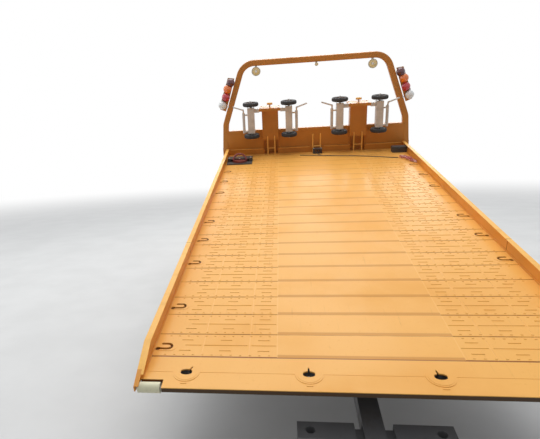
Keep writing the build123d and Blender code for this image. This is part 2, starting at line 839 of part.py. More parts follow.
def lashing_place():
    turn_x, turn_radius = slot_turn
    high = around(0, deep)
    slot = Pos(lashing_x, slot_start, 0) * Cylinder(lashing_radius, 2 * deep)
    slot += block((turn_x, lashing_x), around(slot_start, slot_half), high)
    far = slot_start + 2 * turn_radius
    slot += block((turn_x, lashing_x - lashing_radius), around(far, slot_half), high)
    ring = Cylinder(turn_radius + slot_half, 2 * deep) - Cylinder(turn_radius - slot_half, 2 * deep + 1)
    ring &= block((-deep, 0), around(0, deep), around(0, 2 * deep))
    rim = extrude(SlotOverall(2 * rim_half[0], 2 * rim_half[1]), amount=rim_rise)
    middle = slot_start + turn_radius
    return Pos(turn_x + rim_shift, middle, 0) * rim, slot + Pos(turn_x, middle, 0) * ring


def plank(step):
    start = seam_y(step) + plank_gap / 2
    end = seam_y(step + 1) - plank_gap / 2
    inset, drop = plank_edge
    board = side_slab([
        (start, -plate), (start, -drop), (start + inset, 0), (end - inset, 0), (end, -drop), (end, -plate),
    ], around(0, floor_half))
    run, fall = plank_slope
    slope = [(start, 1), (start, -fall), (start + run, 0), (start + run, 1)]
    board -= side_slab(slope, around(0, slope_half))
    for x in crease_x:
        board -= both(block(around(x, crease[0] / 2), (start, end), (-crease[1], 1)))
    return board


def deck_planks():
    holed = [int(place) for place in lashing_planks]
    return Part() + [plank(step) for step in range(plank_count) if step not in holed]


def lashing_boards():
    rim, slot = lashing_place()
    boards = []
    for place in lashing_planks:
        at = Pos(0, seam_y(place), 0)
        boards.append(plank(int(place)) + at * both(rim) - at * both(slot))
    return Part() + boards


# Side beams with a joint in each rail, and the members and sills under the planks
splice_y = (1431, 1396)
splice = (3, 2)
cross_depth = 50
cross_half = 30
sill_taper = 900
slide_bracket_y = -slide_travel[0] - tail_y - 10
slide_bracket = (45, 30, 40)
rod_end_y = slide_bracket_y + sum(slide_travel) + 150


def side_beam(joint):
    outer = deck_half
    inner = outer - rail_thick
    web = outer - plate
    lip = outer - side_flange
    section = cross_slab([
        (inner, -plate), (inner, rail_height), (outer, rail_height), (outer, -side_depth), (lip, -side_depth),
        (lip, plate - side_depth), (web, plate - side_depth), (web, -plate),
    ], (0, bed_front))
    side_view = side_slab([
        (0, -tail_depth[0]), (500, -side_depth), (bed_front, -side_depth), (bed_front, rail_height),
        (taper_length, rail_height), (0, 0),
    ], (lip - deep, outer + 1))
    width, depth = splice
    beam = section & side_view
    beam -= block((inner - 1, outer + 1), around(joint, width / 2), (rail_height - depth, rail_height + 1))
    beam -= block((inner - 1, inner + depth), around(joint, width / 2), (0, rail_height + 1))
    return beam - block((notch_x[0], web), (-1, notch_depth), around(0, deep))


def bed_sides():
    left, right = splice_y
    return Part() + [mirror(side_beam(left), Plane.YZ), side_beam(right)]


def bed_frame():
    frame = Part()
    member_z = (-plate - cross_depth, -plate)
    members = [seam_y(step) for step in range(1, plank_count + 1, 2)] + [bed_front - cross_half]
    for y in members:
        frame += block(around(0, deck_half - plate), around(y, cross_half), member_z)
    bottom = slider_half + pad + slide_gap - deck_height
    sill = side_slab([
        (last_seam, -tail_depth[1]), (sill_taper, bottom), (bed_front, bottom), (bed_front, -plate),
        (last_seam, -plate),
    ], sill_x)
    frame += both(sill)
    half, thick, drop = slide_bracket
    frame += block(around(0, sill_x[0]), (slide_bracket_y - 2 * thick, slide_bracket_y), member_z)
    bracket_z = (barrel_z - deck_height - drop, -plate)
    return frame + block(around(0, half), (slide_bracket_y - thick, slide_bracket_y), bracket_z)


def slide_rod():
    z = barrel_z - deck_height
    stem = long_rod(0, (slide_bracket_y, rod_end_y), z, rod_radius)
    return stem + long_rod(0, (rod_end_y - 40, rod_end_y), z, barrel_bore - running_fit)


save("bed_deck", bed_deck(), bed_at)
save("deck_planks", deck_planks(), bed_at)
save("lashing_planks", lashing_boards(), bed_at)
save("bed_sides", bed_sides(), bed_at)
save("bed_frame", bed_frame(), bed_at)
save("slide_rod", slide_rod(), bed_at)


# Rollers at the rear corners
roller_pin = 8


def tail_roller():
    bore = cross_rod((roller_x[0] - 1, roller_x[1] + 1), roller_y, roller_z, roller_pin + running_fit)
    return cross_rod(roller_x, roller_y, roller_z, roller_radius) - bore


save("tail_roller_right", tail_roller(), bed_at)
save("tail_roller_left", mirror(tail_roller(), Plane.YZ), bed_at)
save("roller_pins", both(cross_rod((notch_x[0], deck_half - plate), roller_y, roller_z, roller_pin)), bed_at)


# Head of the deck: headboard, hoop and the two storage posts
hoop_size = 70
hoop_corner = 12
hoop_points = ((deck_half + 15, rail_height + 3), (deck_half - 7, 392), (deck_half - 260, 1116))
hoop_bends = (120, 190)
board_flange = 46
band = (3, 38)
kick = (26, 72)
post_half = 100
post_y = (deck_length - 50, deck_length + 70)
post_top = 553
post_wall = 8
opening = (171, 184)
cap = (257, 36)
cap_y = (deck_length - 128, deck_length + 80)


def hoop():
    y = deck_length + hoop_size / 2
    right = [(x, y, z) for x, z in hoop_points]
    left = [(-x, y, z) for x, z in reversed(hoop_points)]
    path = FilletPolyline(*right, *left, radius=[hoop_bends[0], hoop_bends[1], hoop_bends[1], hoop_bends[0]])
    section = RectangleRounded(hoop_size, hoop_size, hoop_corner)
    return sweep(Plane(origin=right[0], x_dir=(0, 1, 0), z_dir=path % 0) * section, path=path)


def head_frame():
    back = deck_length
    across = around(0, floor_half)
    frame = block(across, (back, back + plate), (0, head_height))
    frame += block(across, (back, back + board_flange), (head_height - plate, head_height))
    frame += block(across, (back - band[0], back), (head_height - band[1], head_height))
    frame += block(across, (back - kick[0], back), (0, kick[1]))
    gusset_x = (deck_half, hoop_points[0][0] + hoop_size / 2)
    frame += hoop() + both(block(gusset_x, (back, back + hoop_size), (10 - deep, rail_height + 8)))
    for x in (-post_x, post_x):
        frame += block(around(x, post_half), post_y, (opening[1], post_top))
        frame += block(around(x, post_half), (back, post_y[1]), (0, opening[1]))
        frame += block(around(x, cap[0] / 2), cap_y, (post_top, post_top + cap[1]))
    for x in (-post_x, post_x):
        pocket = (back - 60, post_y[1] - post_wall)
        frame -= block(around(x, opening[0] / 2), pocket, (2, opening[1] - post_wall))
    return frame


save("head_frame", head_frame(), bed_at)


# Three pairs of upright bars behind the headboard, each pair with a low rung
bar_pairs = ((-571, -483), (-13, 80), (484, 580))
bar_height = 236
bar_radius = 7
bar_y = deck_length - 60
rung = (82, 5)


def head_bars():
    bars = []
    for left, right in bar_pairs:
        pair = cross_rod((left, right), bar_y, *rung)
        for x in (left, right):
            pair += rod((x, bar_y, 0), (x, bar_y, bar_height), bar_radius)
        bars.append(pair)
    return Part() + bars


save("head_bars", head_bars(), bed_at)


# Wheel dollies stowed on both sides of each post: a column between two wheels, a thin tube
# beside it and a handle that leans away; and a knob on each post
column_half = (41, 46)
dolly_wheel_radius = 96
dolly_wheel_width = 45
dolly_pin = 12
pin_over = 40
rack_z = 566
rack_half = 22
tube_offset = 92
tube_radius = 17
tube_z = (296, 545)
tie_z = (316, 520)
tie_half = (14, 9)
handle_radius = 9
handle_run = (125, 30)
handle_lift = (585, 628)
knob_stem = (10, 40)
knob_head = (32, 12)


def between(a, b):
    return (min(a, b), max(a, b))


def dolly(x, side):
    # side is the direction away from the post
    cap_edge = x - side * (dolly_offset - cap[0] / 2)
    racks = block(between(cap_edge, x), around(dolly_y, rack_half), around(rack_z, rack_half))
    low, high = dolly_wheel_z
    column_z = (low + pin_over, high - pin_over)
    racks += block(around(x, column_half[0]), around(dolly_y, column_half[1]), column_z)
    racks += rod((x, dolly_y, low - pin_over), (x, dolly_y, high + pin_over), dolly_pin)
    tube_x = x + side * tube_offset
    racks += rod((tube_x, dolly_y, tube_z[0]), (tube_x, dolly_y, tube_z[1]), tube_radius)
    for z in tie_z:
        racks += block(between(x, tube_x), around(dolly_y, tie_half[0]), around(z, tie_half[1]))
    foot = (tube_x, dolly_y, tube_z[1] - 10)
    bend = (tube_x, dolly_y - handle_run[1], handle_lift[0])
    tip = (tube_x + side * handle_run[0], dolly_y - handle_run[1], handle_lift[1])
    racks += rod(foot, bend, handle_radius) + Pos(*bend) * Sphere(handle_radius)
    return racks + rod(bend, tip, handle_radius)


def knob(x):
    top = post_top + cap[1]
    y = sum(cap_y) / 2
    stem = rod((x, y, top), (x, y, top + knob_stem[1]), knob_stem[0])
    return stem + cross_rod(around(x, knob_head[0]), y, top + knob_stem[1], knob_head[1])


def dolly_racks():
    racks = []
    for x in (-post_x, post_x):
        for side in (-1, 1):
            racks.append(dolly(x + side * dolly_offset, side))
        racks.append(knob(x))
    return Part() + racks


def dolly_wheel(x):
    wheel = Cylinder(dolly_wheel_radius, dolly_wheel_width)
    wheel -= Cylinder(dolly_pin + running_fit, 2 * dolly_wheel_width)
    return Part() + [Pos(x, dolly_y, z) * wheel for z in dolly_wheel_z]


save("dolly_racks", dolly_racks(), bed_at)
dolly_places = (
    ("left_outer", -post_x - dolly_offset), ("left_inner", -post_x + dolly_offset),
    ("right_inner", post_x - dolly_offset), ("right_outer", post_x + dolly_offset),
)
for name, x in dolly_places:
    save(f"dolly_wheels_{name}", dolly_wheel(x), bed_at)


# Lamps on the hoop: two work lamps under its top, a small one between them, and four domes on
# a plate at each side
work_lamp = (deck_half - 418, 1020)
work_lamp_radius = 54
work_lamp_y = (deck_length - 15, deck_length + 35)
middle_lamp = (35, 1056, 20)
hanger_half_x = 15
dome = (50, 35)
dome_base = (46, 26)
side_lamps = ((deck_half - 103, 906), (deck_half - 59, 834), (deck_half - 34, 737), (deck_half + 15, 641))
lamp_plate = (
    (deck_half - 150, 955), (deck_half - 70, 965), (deck_half + 50, 640), (deck_half + 50, 590),
    (deck_half - 20, 560), (deck_half - 70, 700),
)
hoop_under = hoop_points[2][1] - hoop_size / 2


def hung_lamp(x, z, radius):
    lamp = long_rod(x, work_lamp_y, z, radius)
    return lamp + block(around(x, hanger_half_x), (deck_length + 20, deck_length + 50), (z, hoop_under))


def bed_lamps():
    mount = cross_slab(lamp_plate, (deck_length - plate, deck_length))
    base_radius, base_depth = dome_base
    base_y = deck_length - plate - base_depth
    radius, height = dome
    ball = (radius**2 + height**2) / (2 * height)
    ahead = block(around(0, radius), (-height, 1), around(0, radius))
    cap_form = Pos(0, ball - height, 0) * Sphere(ball) & ahead
    for x, z in side_lamps:
        mount += long_rod(x, (base_y, deck_length - 1), z, base_radius) + Pos(x, base_y, z) * cap_form
    lamps = both(hung_lamp(*work_lamp, work_lamp_radius)) + both(mount)
    return lamps + hung_lamp(*middle_lamp)


save("bed_lamps", bed_lamps(), bed_at)


# Winch ahead of the headboard, and the rope's fairlead on the deck with a box and a pulley
# block lying beside it
drum_radius = 60
drum_half = 170
flange_radius = 92
flange_thick = 10
winch_half = (220, 90)
winch_base = 12
cheek_height = 210
motor_radius = 70
shaft_half = 200
winch_shaft = 18
fairlead = ((-15, 97), (deck_length - 126, deck_length - 71), (0, 64))
hand_box = ((deck_half - 192, deck_half - 25), (deck_length - 242, deck_length - 164), (0, 70))
pulley = (194 - deck_half, deck_length - 391)
pulley_half = (151, 115)
pulley_sheave = (88, 22)
pulley_cheek = 12
pulley_z = 24


def winch():
    along = around(winch_y, winch_half[1])
    frame = block(around(0, winch_half[0]), along, (0, winch_base))
    frame += both(block((shaft_half - 20, shaft_half), along, (0, cheek_height)))
    frame += cross_rod((-shaft_half, shaft_half + 120), winch_y, winch_z, winch_shaft)
    return frame + cross_rod((shaft_half, shaft_half + 130), winch_y, winch_z, motor_radius)


def winch_drum():
    drum = cross_rod(around(0, drum_half), winch_y, winch_z, drum_radius)
    rim = cross_rod((drum_half - flange_thick, drum_half), winch_y, winch_z, flange_radius)
    drum += both(rim)
    return drum - cross_rod(around(0, drum_half + 1), winch_y, winch_z, winch_shaft + running_fit)


save("winch", winch(), bed_at)
save("winch_drum", winch_drum(), bed_at)


def deck_fittings():
    x, y, z = fairlead
    guide = block(x, y, z)
    guide -= block((x[0] + 20, x[1] - 20), (y[0] - 1, y[1] + 1), (z[0] + 14, z[1] - 14))
    box = fillet(block(*hand_box).edges().filter_by(Axis.Y), 8)
    at_x, at_y = pulley
    wide, long = pulley_half
    low = pulley_z - pulley_sheave[1] / 2
    high = pulley_z + pulley_sheave[1] / 2
    cheeks = block(around(at_x, wide), around(at_y, long), (low - pulley_cheek, low - 1))
    cheeks += block(around(at_x, wide), (at_y, at_y + long), (high + 1, high + pulley_cheek))
    for side in (-1, 1):
        cheeks += block(around(at_x + side * (wide - 20), 20), (at_y, at_y + long), (low - 2, high + 2))
    cheeks += rod((at_x, at_y, low - 2), (at_x, at_y, high + 2), roller_pin)
    return Part() + [guide, box, cheeks]


def pulley_wheel():
    at_x, at_y = pulley
    radius, thick = pulley_sheave
    wheel = Cylinder(radius, thick) - Cylinder(roller_pin + running_fit, 2 * thick)
    return Pos(at_x, at_y, pulley_z) * (wheel - Torus(radius + 2, thick / 2 - 4))


save("deck_fittings", deck_fittings(), bed_at)
save("pulley_sheave", pulley_wheel(), bed_at)


# Under-lift below the deck's tail: a hollow boom, the arm that slides in it and a cross head
boom_inner = boom_half - boom_wall
boom_lug = (80, 36)
fork_wall = arm_half - 34
fork_back = (50, 75)
head_pin = 18
head_middle = (90, 28)
head_depth_half = head_depth / 2


def lift_boom():
    tube = block(around(0, boom_half), (boom_end, boom_hinge_y - 40), around(boom_hinge_z, boom_half))
    tube -= block(around(0, boom_inner), (boom_end - 1, boom_hinge_y - 60), around(boom_hinge_z, boom_inner))
    half, rise = boom_lug
    tube += block(around(0, half), (boom_hinge_y - 60, boom_hinge_y + 20), around(boom_hinge_z, rise))
    return tube - cross_rod(around(0, half + 1), boom_hinge_y, boom_hinge_z, boom_pin + running_fit)


def lift_arm():
    overhang, slot = fork_back
    arm = block(around(0, arm_half), (head_y - overhang, arm_start), around(boom_hinge_z, arm_half))
    gap = around(boom_hinge_z, arm_half - fork_wall)
    arm -= block(around(0, arm_half + 1), (head_y - overhang - 1, head_y + slot), gap)
    return arm + Pos(0, head_y, boom_hinge_z) * Cylinder(head_pin, 2 * arm_half)


def lift_head():
    middle, rise = head_middle
    head = block(around(0, middle), (head_y - 50, head_y + 40), around(boom_hinge_z, rise))
    ends = (middle - 2, head_half)
    head += both(block(ends, around(head_y, 50), around(boom_hinge_z, head_depth_half)))
    head -= Pos(0, head_y, boom_hinge_z) * Cylinder(head_pin + running_fit, 2 * head_depth)
    socket = Cylinder(lift_socket_radius, 2 * head_depth)
    return head - both(Pos(lift_socket_x, head_y, boom_hinge_z) * socket)


save("lift_boom", lift_boom(), tilted)
save("lift_arm", lift_arm(), tilted)
save("lift_head", lift_head(), tilted)
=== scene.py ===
import json
import math
import bpy
import bmesh
from mathutils import Matrix, Vector


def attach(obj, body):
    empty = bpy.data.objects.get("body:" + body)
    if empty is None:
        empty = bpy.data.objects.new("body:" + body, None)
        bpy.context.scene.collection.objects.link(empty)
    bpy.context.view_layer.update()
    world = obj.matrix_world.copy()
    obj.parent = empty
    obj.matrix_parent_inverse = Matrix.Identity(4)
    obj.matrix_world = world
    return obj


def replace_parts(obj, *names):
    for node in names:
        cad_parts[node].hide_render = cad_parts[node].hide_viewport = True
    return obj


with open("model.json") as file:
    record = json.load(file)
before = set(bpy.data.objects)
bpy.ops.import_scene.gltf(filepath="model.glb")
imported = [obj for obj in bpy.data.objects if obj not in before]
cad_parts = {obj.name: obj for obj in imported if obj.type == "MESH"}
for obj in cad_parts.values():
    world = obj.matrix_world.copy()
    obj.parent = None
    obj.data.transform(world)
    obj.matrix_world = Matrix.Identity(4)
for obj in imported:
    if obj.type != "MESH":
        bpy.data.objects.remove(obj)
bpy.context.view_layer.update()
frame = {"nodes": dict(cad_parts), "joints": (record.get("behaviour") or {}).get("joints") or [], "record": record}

print("frame loaded,", len(frame["nodes"]), "nodes")

# The deck's own frame: origin on its top face, at the rear edge on the centre line
deck = {
    "behindPivot": 1.665, "abovePivot": 0.240, "length": 4.356,
    "lastSeam": 0.228, "seamPitch": 0.192, "seams": 22,
}
joints = {joint["name"]: joint for joint in frame["joints"]}
jointOf = {joint["child"]: joint for joint in frame["joints"]}
slideAxis = Vector(joints["bed_slide"]["axis"])
tilt = math.atan2(-slideAxis.z, -slideAxis.y)
tiltPlace = Matrix.Translation(joints["bed_tilt"]["pos_m"]) @ Matrix.Rotation(tilt, 4, "X")
deckPlace = tiltPlace @ Matrix.Translation((0, -deck["behindPivot"], deck["abovePivot"]))
onDeck = ("bed", deckPlace)
towardTail = Matrix.Rotation(math.radians(90), 4, "X")
towardRight = Matrix.Rotation(math.radians(90), 4, "Y")

# Camera at the photograph's viewpoint
camera = {
    "position": (-0.3829, -5.700, 1.657),
    "right": (0.9897, 0.1360, -0.0434),
    "up": (0.0248, 0.1355, 0.9905),
    "back": (0.1407, -0.9814, 0.1308),
    "lens": 32.0, "shiftX": 0.099, "clip": (0.05, 200),
}


def placeCamera():
    data = bpy.data.cameras.new("camera")
    data.lens = camera["lens"]
    data.shift_x = camera["shiftX"]
    data.clip_start, data.clip_end = camera["clip"]
    cameraObject = bpy.data.objects.new("camera", data)
    turn = Matrix((camera["right"], camera["up"], camera["back"])).transposed().to_4x4()
    cameraObject.matrix_world = Matrix.Translation(camera["position"]) @ turn
    bpy.context.scene.collection.objects.link(cameraObject)
    bpy.context.scene.camera = cameraObject


placeCamera()


# Nodes of any tree: plain values feed the first inputs in order, named ones the input of that name
def feed(tree, node, *values, **named):
    pairs = list(zip(node.inputs, values))
    pairs += [(node.inputs[label.replace("_", " ")], value) for label, value in named.items()]
    for socket, value in pairs:
        if isinstance(value, bpy.types.NodeSocket):
            tree.links.new(value, socket)
        else:
            socket.default_value = value
    return node


def addNode(tree, kind, *values, **named):
    return feed(tree, tree.nodes.new(kind), *values, **named)


def addGroup(tree, group, **named):
    node = tree.nodes.new("ShaderNodeGroup")
    node.node_tree = group
    return feed(tree, node, **named)


def mathNode(tree, operation, first, second=0.0):
    node = addNode(tree, "ShaderNodeMath", first, second)
    node.operation = operation
    return node.outputs[0]


def product(tree, first, *others):
    for other in others:
        first = mathNode(tree, "MULTIPLY", first, other)
    return first


def mixColor(tree, factor, first, second):
    node = tree.nodes.new("ShaderNodeMix")
    node.data_type = "RGBA"
    return feed(tree, node, Factor=factor, A=first, B=second).outputs["Result"]


def noiseNode(tree, vector, scale, detail=3.0, rough=0.55):
    noise = addNode(tree, "ShaderNodeTexNoise", Vector=vector, Scale=scale, Detail=detail, Roughness=rough)
    return noise.outputs["Fac"]


def rangeNode(tree, value, low, high, result=(0.0, 1.0)):
    node = addNode(tree, "ShaderNodeMapRange", Value=value, From_Min=low, From_Max=high)
    node.interpolation_type = "SMOOTHSTEP"
    return feed(tree, node, To_Min=result[0], To_Max=result[1]).outputs["Result"]


def lineMask(tree, value, middle, half, soft):
    # 1 within half of the middle, fading to 0 over soft
    off = mathNode(tree, "ABSOLUTE", mathNode(tree, "SUBTRACT", value, middle))
    return mathNode(tree, "SUBTRACT", 1.0, rangeNode(tree, off, half, half + soft))


def seenRays(tree):
    # 1 for what the camera sees, straight, mirrored or through glass
    path = tree.nodes.new("ShaderNodeLightPath")
    seen = mathNode(tree, "MAXIMUM", path.outputs["Is Camera Ray"], path.outputs["Is Glossy Ray"])
    return mathNode(tree, "MAXIMUM", seen, path.outputs["Is Transmission Ray"])


def objectPlace(tree):
    return tree.nodes.new("ShaderNodeTexCoord").outputs["Object"]


def socketKind(value):
    if isinstance(value, str):
        return value
    if isinstance(value, tuple):
        return "Color" if len(value) == 4 else "Vector"
    return "Int" if isinstance(value, int) else "Float"


def newTree(kind, name, inputs, outputs):
    # inputs as label: first value, or the kind of a socket that has none; outputs as label: kind
    tree = bpy.data.node_groups.new(name, kind)
    for label, value in inputs.items():
        socketType = "NodeSocket" + socketKind(value)
        socket = tree.interface.new_socket(label, in_out="INPUT", socket_type=socketType)
        if not isinstance(value, str):
            socket.default_value = value
    for label, value in outputs.items():
        tree.interface.new_socket(label, in_out="OUTPUT", socket_type="NodeSocket" + value)
    return tree, tree.nodes.new("NodeGroupInput").outputs, tree.nodes.new("NodeGroupOutput").inputs


# Light: a sky dome that is dimmer low behind the tail, a soft panel ahead of the truck, one
# overhead and a weak one at the left
studio = {
    "skyColor": (0.93, 0.96, 1.0), "skyStrength": (0.20, 0.80), "skyLean": (0.0, 0.45, 0.75),
    "skyBand": (-0.55, 0.85), "backdrop": 1.0,
    "panels": (
        # name, place, looks at, width, depth, watts
        ("skyAhead", (0.5, 9.0, 6.5), (0, 0, 1.2), 9.0, 3.0, 230),
        ("skyOverhead", (-0.5, 0.5, 9.0), (0, -0.5, 1.0), 8.0, 8.0, 520),
        ("skyLeft", (-9.0, -1.0, 4.5), (0, 0, 1.0), 5.0, 5.0, 110),
    ),
    "floorColor": (0.62, 0.62, 0.61), "floorDarker": 0.94, "floorNoise": (1.5, 4.0), "floorBand": (0.3, 0.7),
    "floorRough": 0.8, "floorHalf": 60.0, "floorFade": (6.0, 22.0),
}


def lightStudio():
    scene = bpy.context.scene
    scene.view_settings.view_transform = "Standard"
    scene.world = bpy.data.worlds.new("sky")
    scene.world.use_nodes = True
    tree = scene.world.node_tree
    tree.nodes.clear()
    toward = tree.nodes.new("ShaderNodeTexCoord").outputs["Generated"]
    lean = addNode(tree, "ShaderNodeVectorMath", toward, studio["skyLean"])
    lean.operation = "DOT_PRODUCT"
    strength = rangeNode(tree, lean.outputs["Value"], *studio["skyBand"], studio["skyStrength"])
    dim = addNode(tree, "ShaderNodeBackground", (*studio["skyColor"], 1), strength)
    white = addNode(tree, "ShaderNodeBackground", (1, 1, 1, 1), studio["backdrop"])
    mix = addNode(tree, "ShaderNodeMixShader", seenRays(tree), dim.outputs[0], white.outputs[0])
    addNode(tree, "ShaderNodeOutputWorld", mix.outputs[0])
    for name, place, target, width, depth, watts in studio["panels"]:
        data = bpy.data.lights.new(name, "AREA")
        data.shape = "RECTANGLE"
        data.size, data.size_y, data.energy = width, depth, watts
        lamp = bpy.data.objects.new(name, data)
        aim = (Vector(target) - Vector(place)).to_track_quat("-Z", "Y")
        lamp.matrix_world = Matrix.Translation(place) @ aim.to_matrix().to_4x4()
        scene.collection.objects.link(lamp)


lightStudio()

# Effects shared by the finishes, as node groups; noises as (scale, detail, roughness), the blotches'
# without a scale, which is an input of the group
dirtLook = {
    "blotchNoise": (6.0, 0.62), "blotchBand": (0.42, 0.72), "speckNoise": (55.0, 2.0),
    "speckBand": (0.6, 0.74), "specks": 0.6, "splashHeight": 0.9, "splash": 0.8,
}


def buildRoadDirt():
    # Blotches of dust, more of it low down, and fine specks
    tree, given, result = newTree("ShaderNodeTree", "roadDirt", {
        "Clean": (0.8, 0.4, 0.1, 1), "Dirt": (0.3, 0.25, 0.2, 1), "Amount": 0.3, "Blotch size": 2.5,
        "Low end": 0.9,
    }, {"Color": "Color", "Mask": "Float"})
    place = objectPlace(tree)
    cloud = noiseNode(tree, place, given["Blotch size"], *dirtLook["blotchNoise"])
    blotches = rangeNode(tree, cloud, *dirtLook["blotchBand"])
    specks = rangeNode(tree, noiseNode(tree, place, *dirtLook["speckNoise"]), *dirtLook["speckBand"])
    height = addNode(tree, "ShaderNodeSeparateXYZ", place).outputs["Z"]
    near = mathNode(tree, "SUBTRACT", given["Low end"], height)
    splash = product(tree, rangeNode(tree, near, 0.0, dirtLook["splashHeight"]), dirtLook["splash"])
    both = mathNode(tree, "MAXIMUM", blotches, splash)
    mask = mathNode(tree, "MAXIMUM", both, product(tree, specks, dirtLook["specks"]))
    amount = product(tree, mask, given["Amount"])
    tree.links.new(mixColor(tree, amount, given["Clean"], given["Dirt"]), result["Color"])
    tree.links.new(amount, result["Mask"])
    return tree


def buildSurfaceGrain():
    # Orange peel in paint, grain in rubber and plastic
    tree, given, result = newTree(
        "ShaderNodeTree", "surfaceGrain", {"Grain size": 300.0, "Waviness": 0.3, "Wave size": 9.0},
        {"Height": "Float"},
    )
    place = objectPlace(tree)
    fine = noiseNode(tree, place, given["Grain size"], detail=2.0)
    broad = product(tree, noiseNode(tree, place, given["Wave size"], detail=2.0), given["Waviness"])
    tree.links.new(mathNode(tree, "ADD", fine, broad), result["Height"])
    return tree


# Seam shading in metres of the deck's own frame
seams = {
    "soft": 0.003, "seamHalf": 0.0025, "firstHalf": 0.005, "firstGapShade": 0.9, "unevenNoise": (7.0, 4.0),
    "unevenBand": (0.25, 0.6), "middleHalf": 0.436, "band": (0.014, 0.009), "creases": (0.436, 0.577, 0.815),
    "creaseHalf": 0.001, "creasePale": 0.22, "planksFrom": -0.004, "topAbove": -0.02,
    "streakScale": (60, 2.5, 1), "streakNoise": (1.0, 5.0, 0.7), "streakBand": (0.60, 0.75),
    "underBelow": -0.004, "underShade": 0.94,
}


def buildDeckSeams():
    # Painted shade and dirt in the seams, a painted shade band ahead of each in the middle, pale creases, scuffs
    # along the deck, painted shade below the top
    tree, given, result = newTree("ShaderNodeTree", "deckSeams", {
        "Color": (0.8, 0.4, 0.1, 1), "Seam shade and dirt": (0.28, 0.09, 0.012, 1), "Band shade color": (0.62, 0.27, 0.04, 1),
        "Pale": (0.95, 0.60, 0.22, 1), "Underside shade": (0.020, 0.010, 0.005, 1), "Seam amount": 0.7,
        "Band shade amount": 0.75, "Scuffs": 0.22,
    }, {"Color": "Color"})
    soft, pitch = seams["soft"], deck["seamPitch"]
    turned = addNode(
        tree, "ShaderNodeMapping", Vector=objectPlace(tree), Location=deckPlace.inverted().translation,
        Rotation=(-tilt, 0, 0),
    ).outputs[0]
    split = addNode(tree, "ShaderNodeSeparateXYZ", turned).outputs
    along = mathNode(tree, "SUBTRACT", split["Y"], deck["lastSeam"])
    ahead = mathNode(tree, "FLOORED_MODULO", along, pitch)
    fromSeam = mathNode(tree, "MINIMUM", ahead, mathNode(tree, "SUBTRACT", pitch, ahead))
    seam = lineMask(tree, fromSeam, 0.0, seams["seamHalf"], soft)
    sideways = mathNode(tree, "ABSOLUTE", split["X"])
    inMiddle = mathNode(tree, "LESS_THAN", sideways, seams["middleHalf"])
    # painted shade: a darker band for the slope ahead of each seam in the middle, which turns away from the light
    band = product(tree, lineMask(tree, ahead, *seams["band"], soft), inMiddle)
    creases = 0.0
    for place in seams["creases"]:
        crease = lineMask(tree, sideways, place, seams["creaseHalf"], soft)
        creases = mathNode(tree, "MAXIMUM", creases, crease)
    onPlanks = mathNode(tree, "GREATER_THAN", along, seams["planksFrom"])
    onTop = mathNode(tree, "GREATER_THAN", split["Z"], seams["topAbove"])
    inside = product(tree, onPlanks, onTop)
    uneven = rangeNode(tree, noiseNode(tree, turned, *seams["unevenNoise"]), *seams["unevenBand"])
    inBand = product(tree, band, given["Band shade amount"], inside)
    bandShaded = mixColor(tree, inBand, given["Color"], given["Band shade color"])
    onCrease = product(tree, creases, seams["creasePale"], inside)
    creased = mixColor(tree, onCrease, bandShaded, given["Pale"])
    # painted shade and dirt in the seam grooves, uneven along them
    seamShadeAndDirt = product(tree, seam, given["Seam amount"], uneven)
    # painted shade in the gap between the tail plate and the first plank
    first = product(tree, lineMask(tree, along, 0.0, seams["firstHalf"], soft), seams["firstGapShade"])
    darkSeams = product(tree, mathNode(tree, "MAXIMUM", seamShadeAndDirt, first), inside)
    stretched = addNode(tree, "ShaderNodeMapping", Vector=turned, Scale=seams["streakScale"]).outputs[0]
    streaks = rangeNode(tree, noiseNode(tree, stretched, *seams["streakNoise"]), *seams["streakBand"])
    scuffs = product(tree, streaks, given["Scuffs"], onTop)
    shadedAndSoiled = mixColor(tree, mathNode(tree, "MAXIMUM", darkSeams, scuffs), creased, given["Seam shade and dirt"])
    # painted shade: all below the deck's top, such as the tail face, made nearly black
    below = product(tree, mathNode(tree, "LESS_THAN", split["Z"], seams["underBelow"]), seams["underShade"])
    tree.links.new(mixColor(tree, below, shadedAndSoiled, given["Underside shade"]), result["Color"])
    return tree


roadDirt = buildRoadDirt()
surfaceGrain = buildSurfaceGrain()
deckSeams = buildDeckSeams()

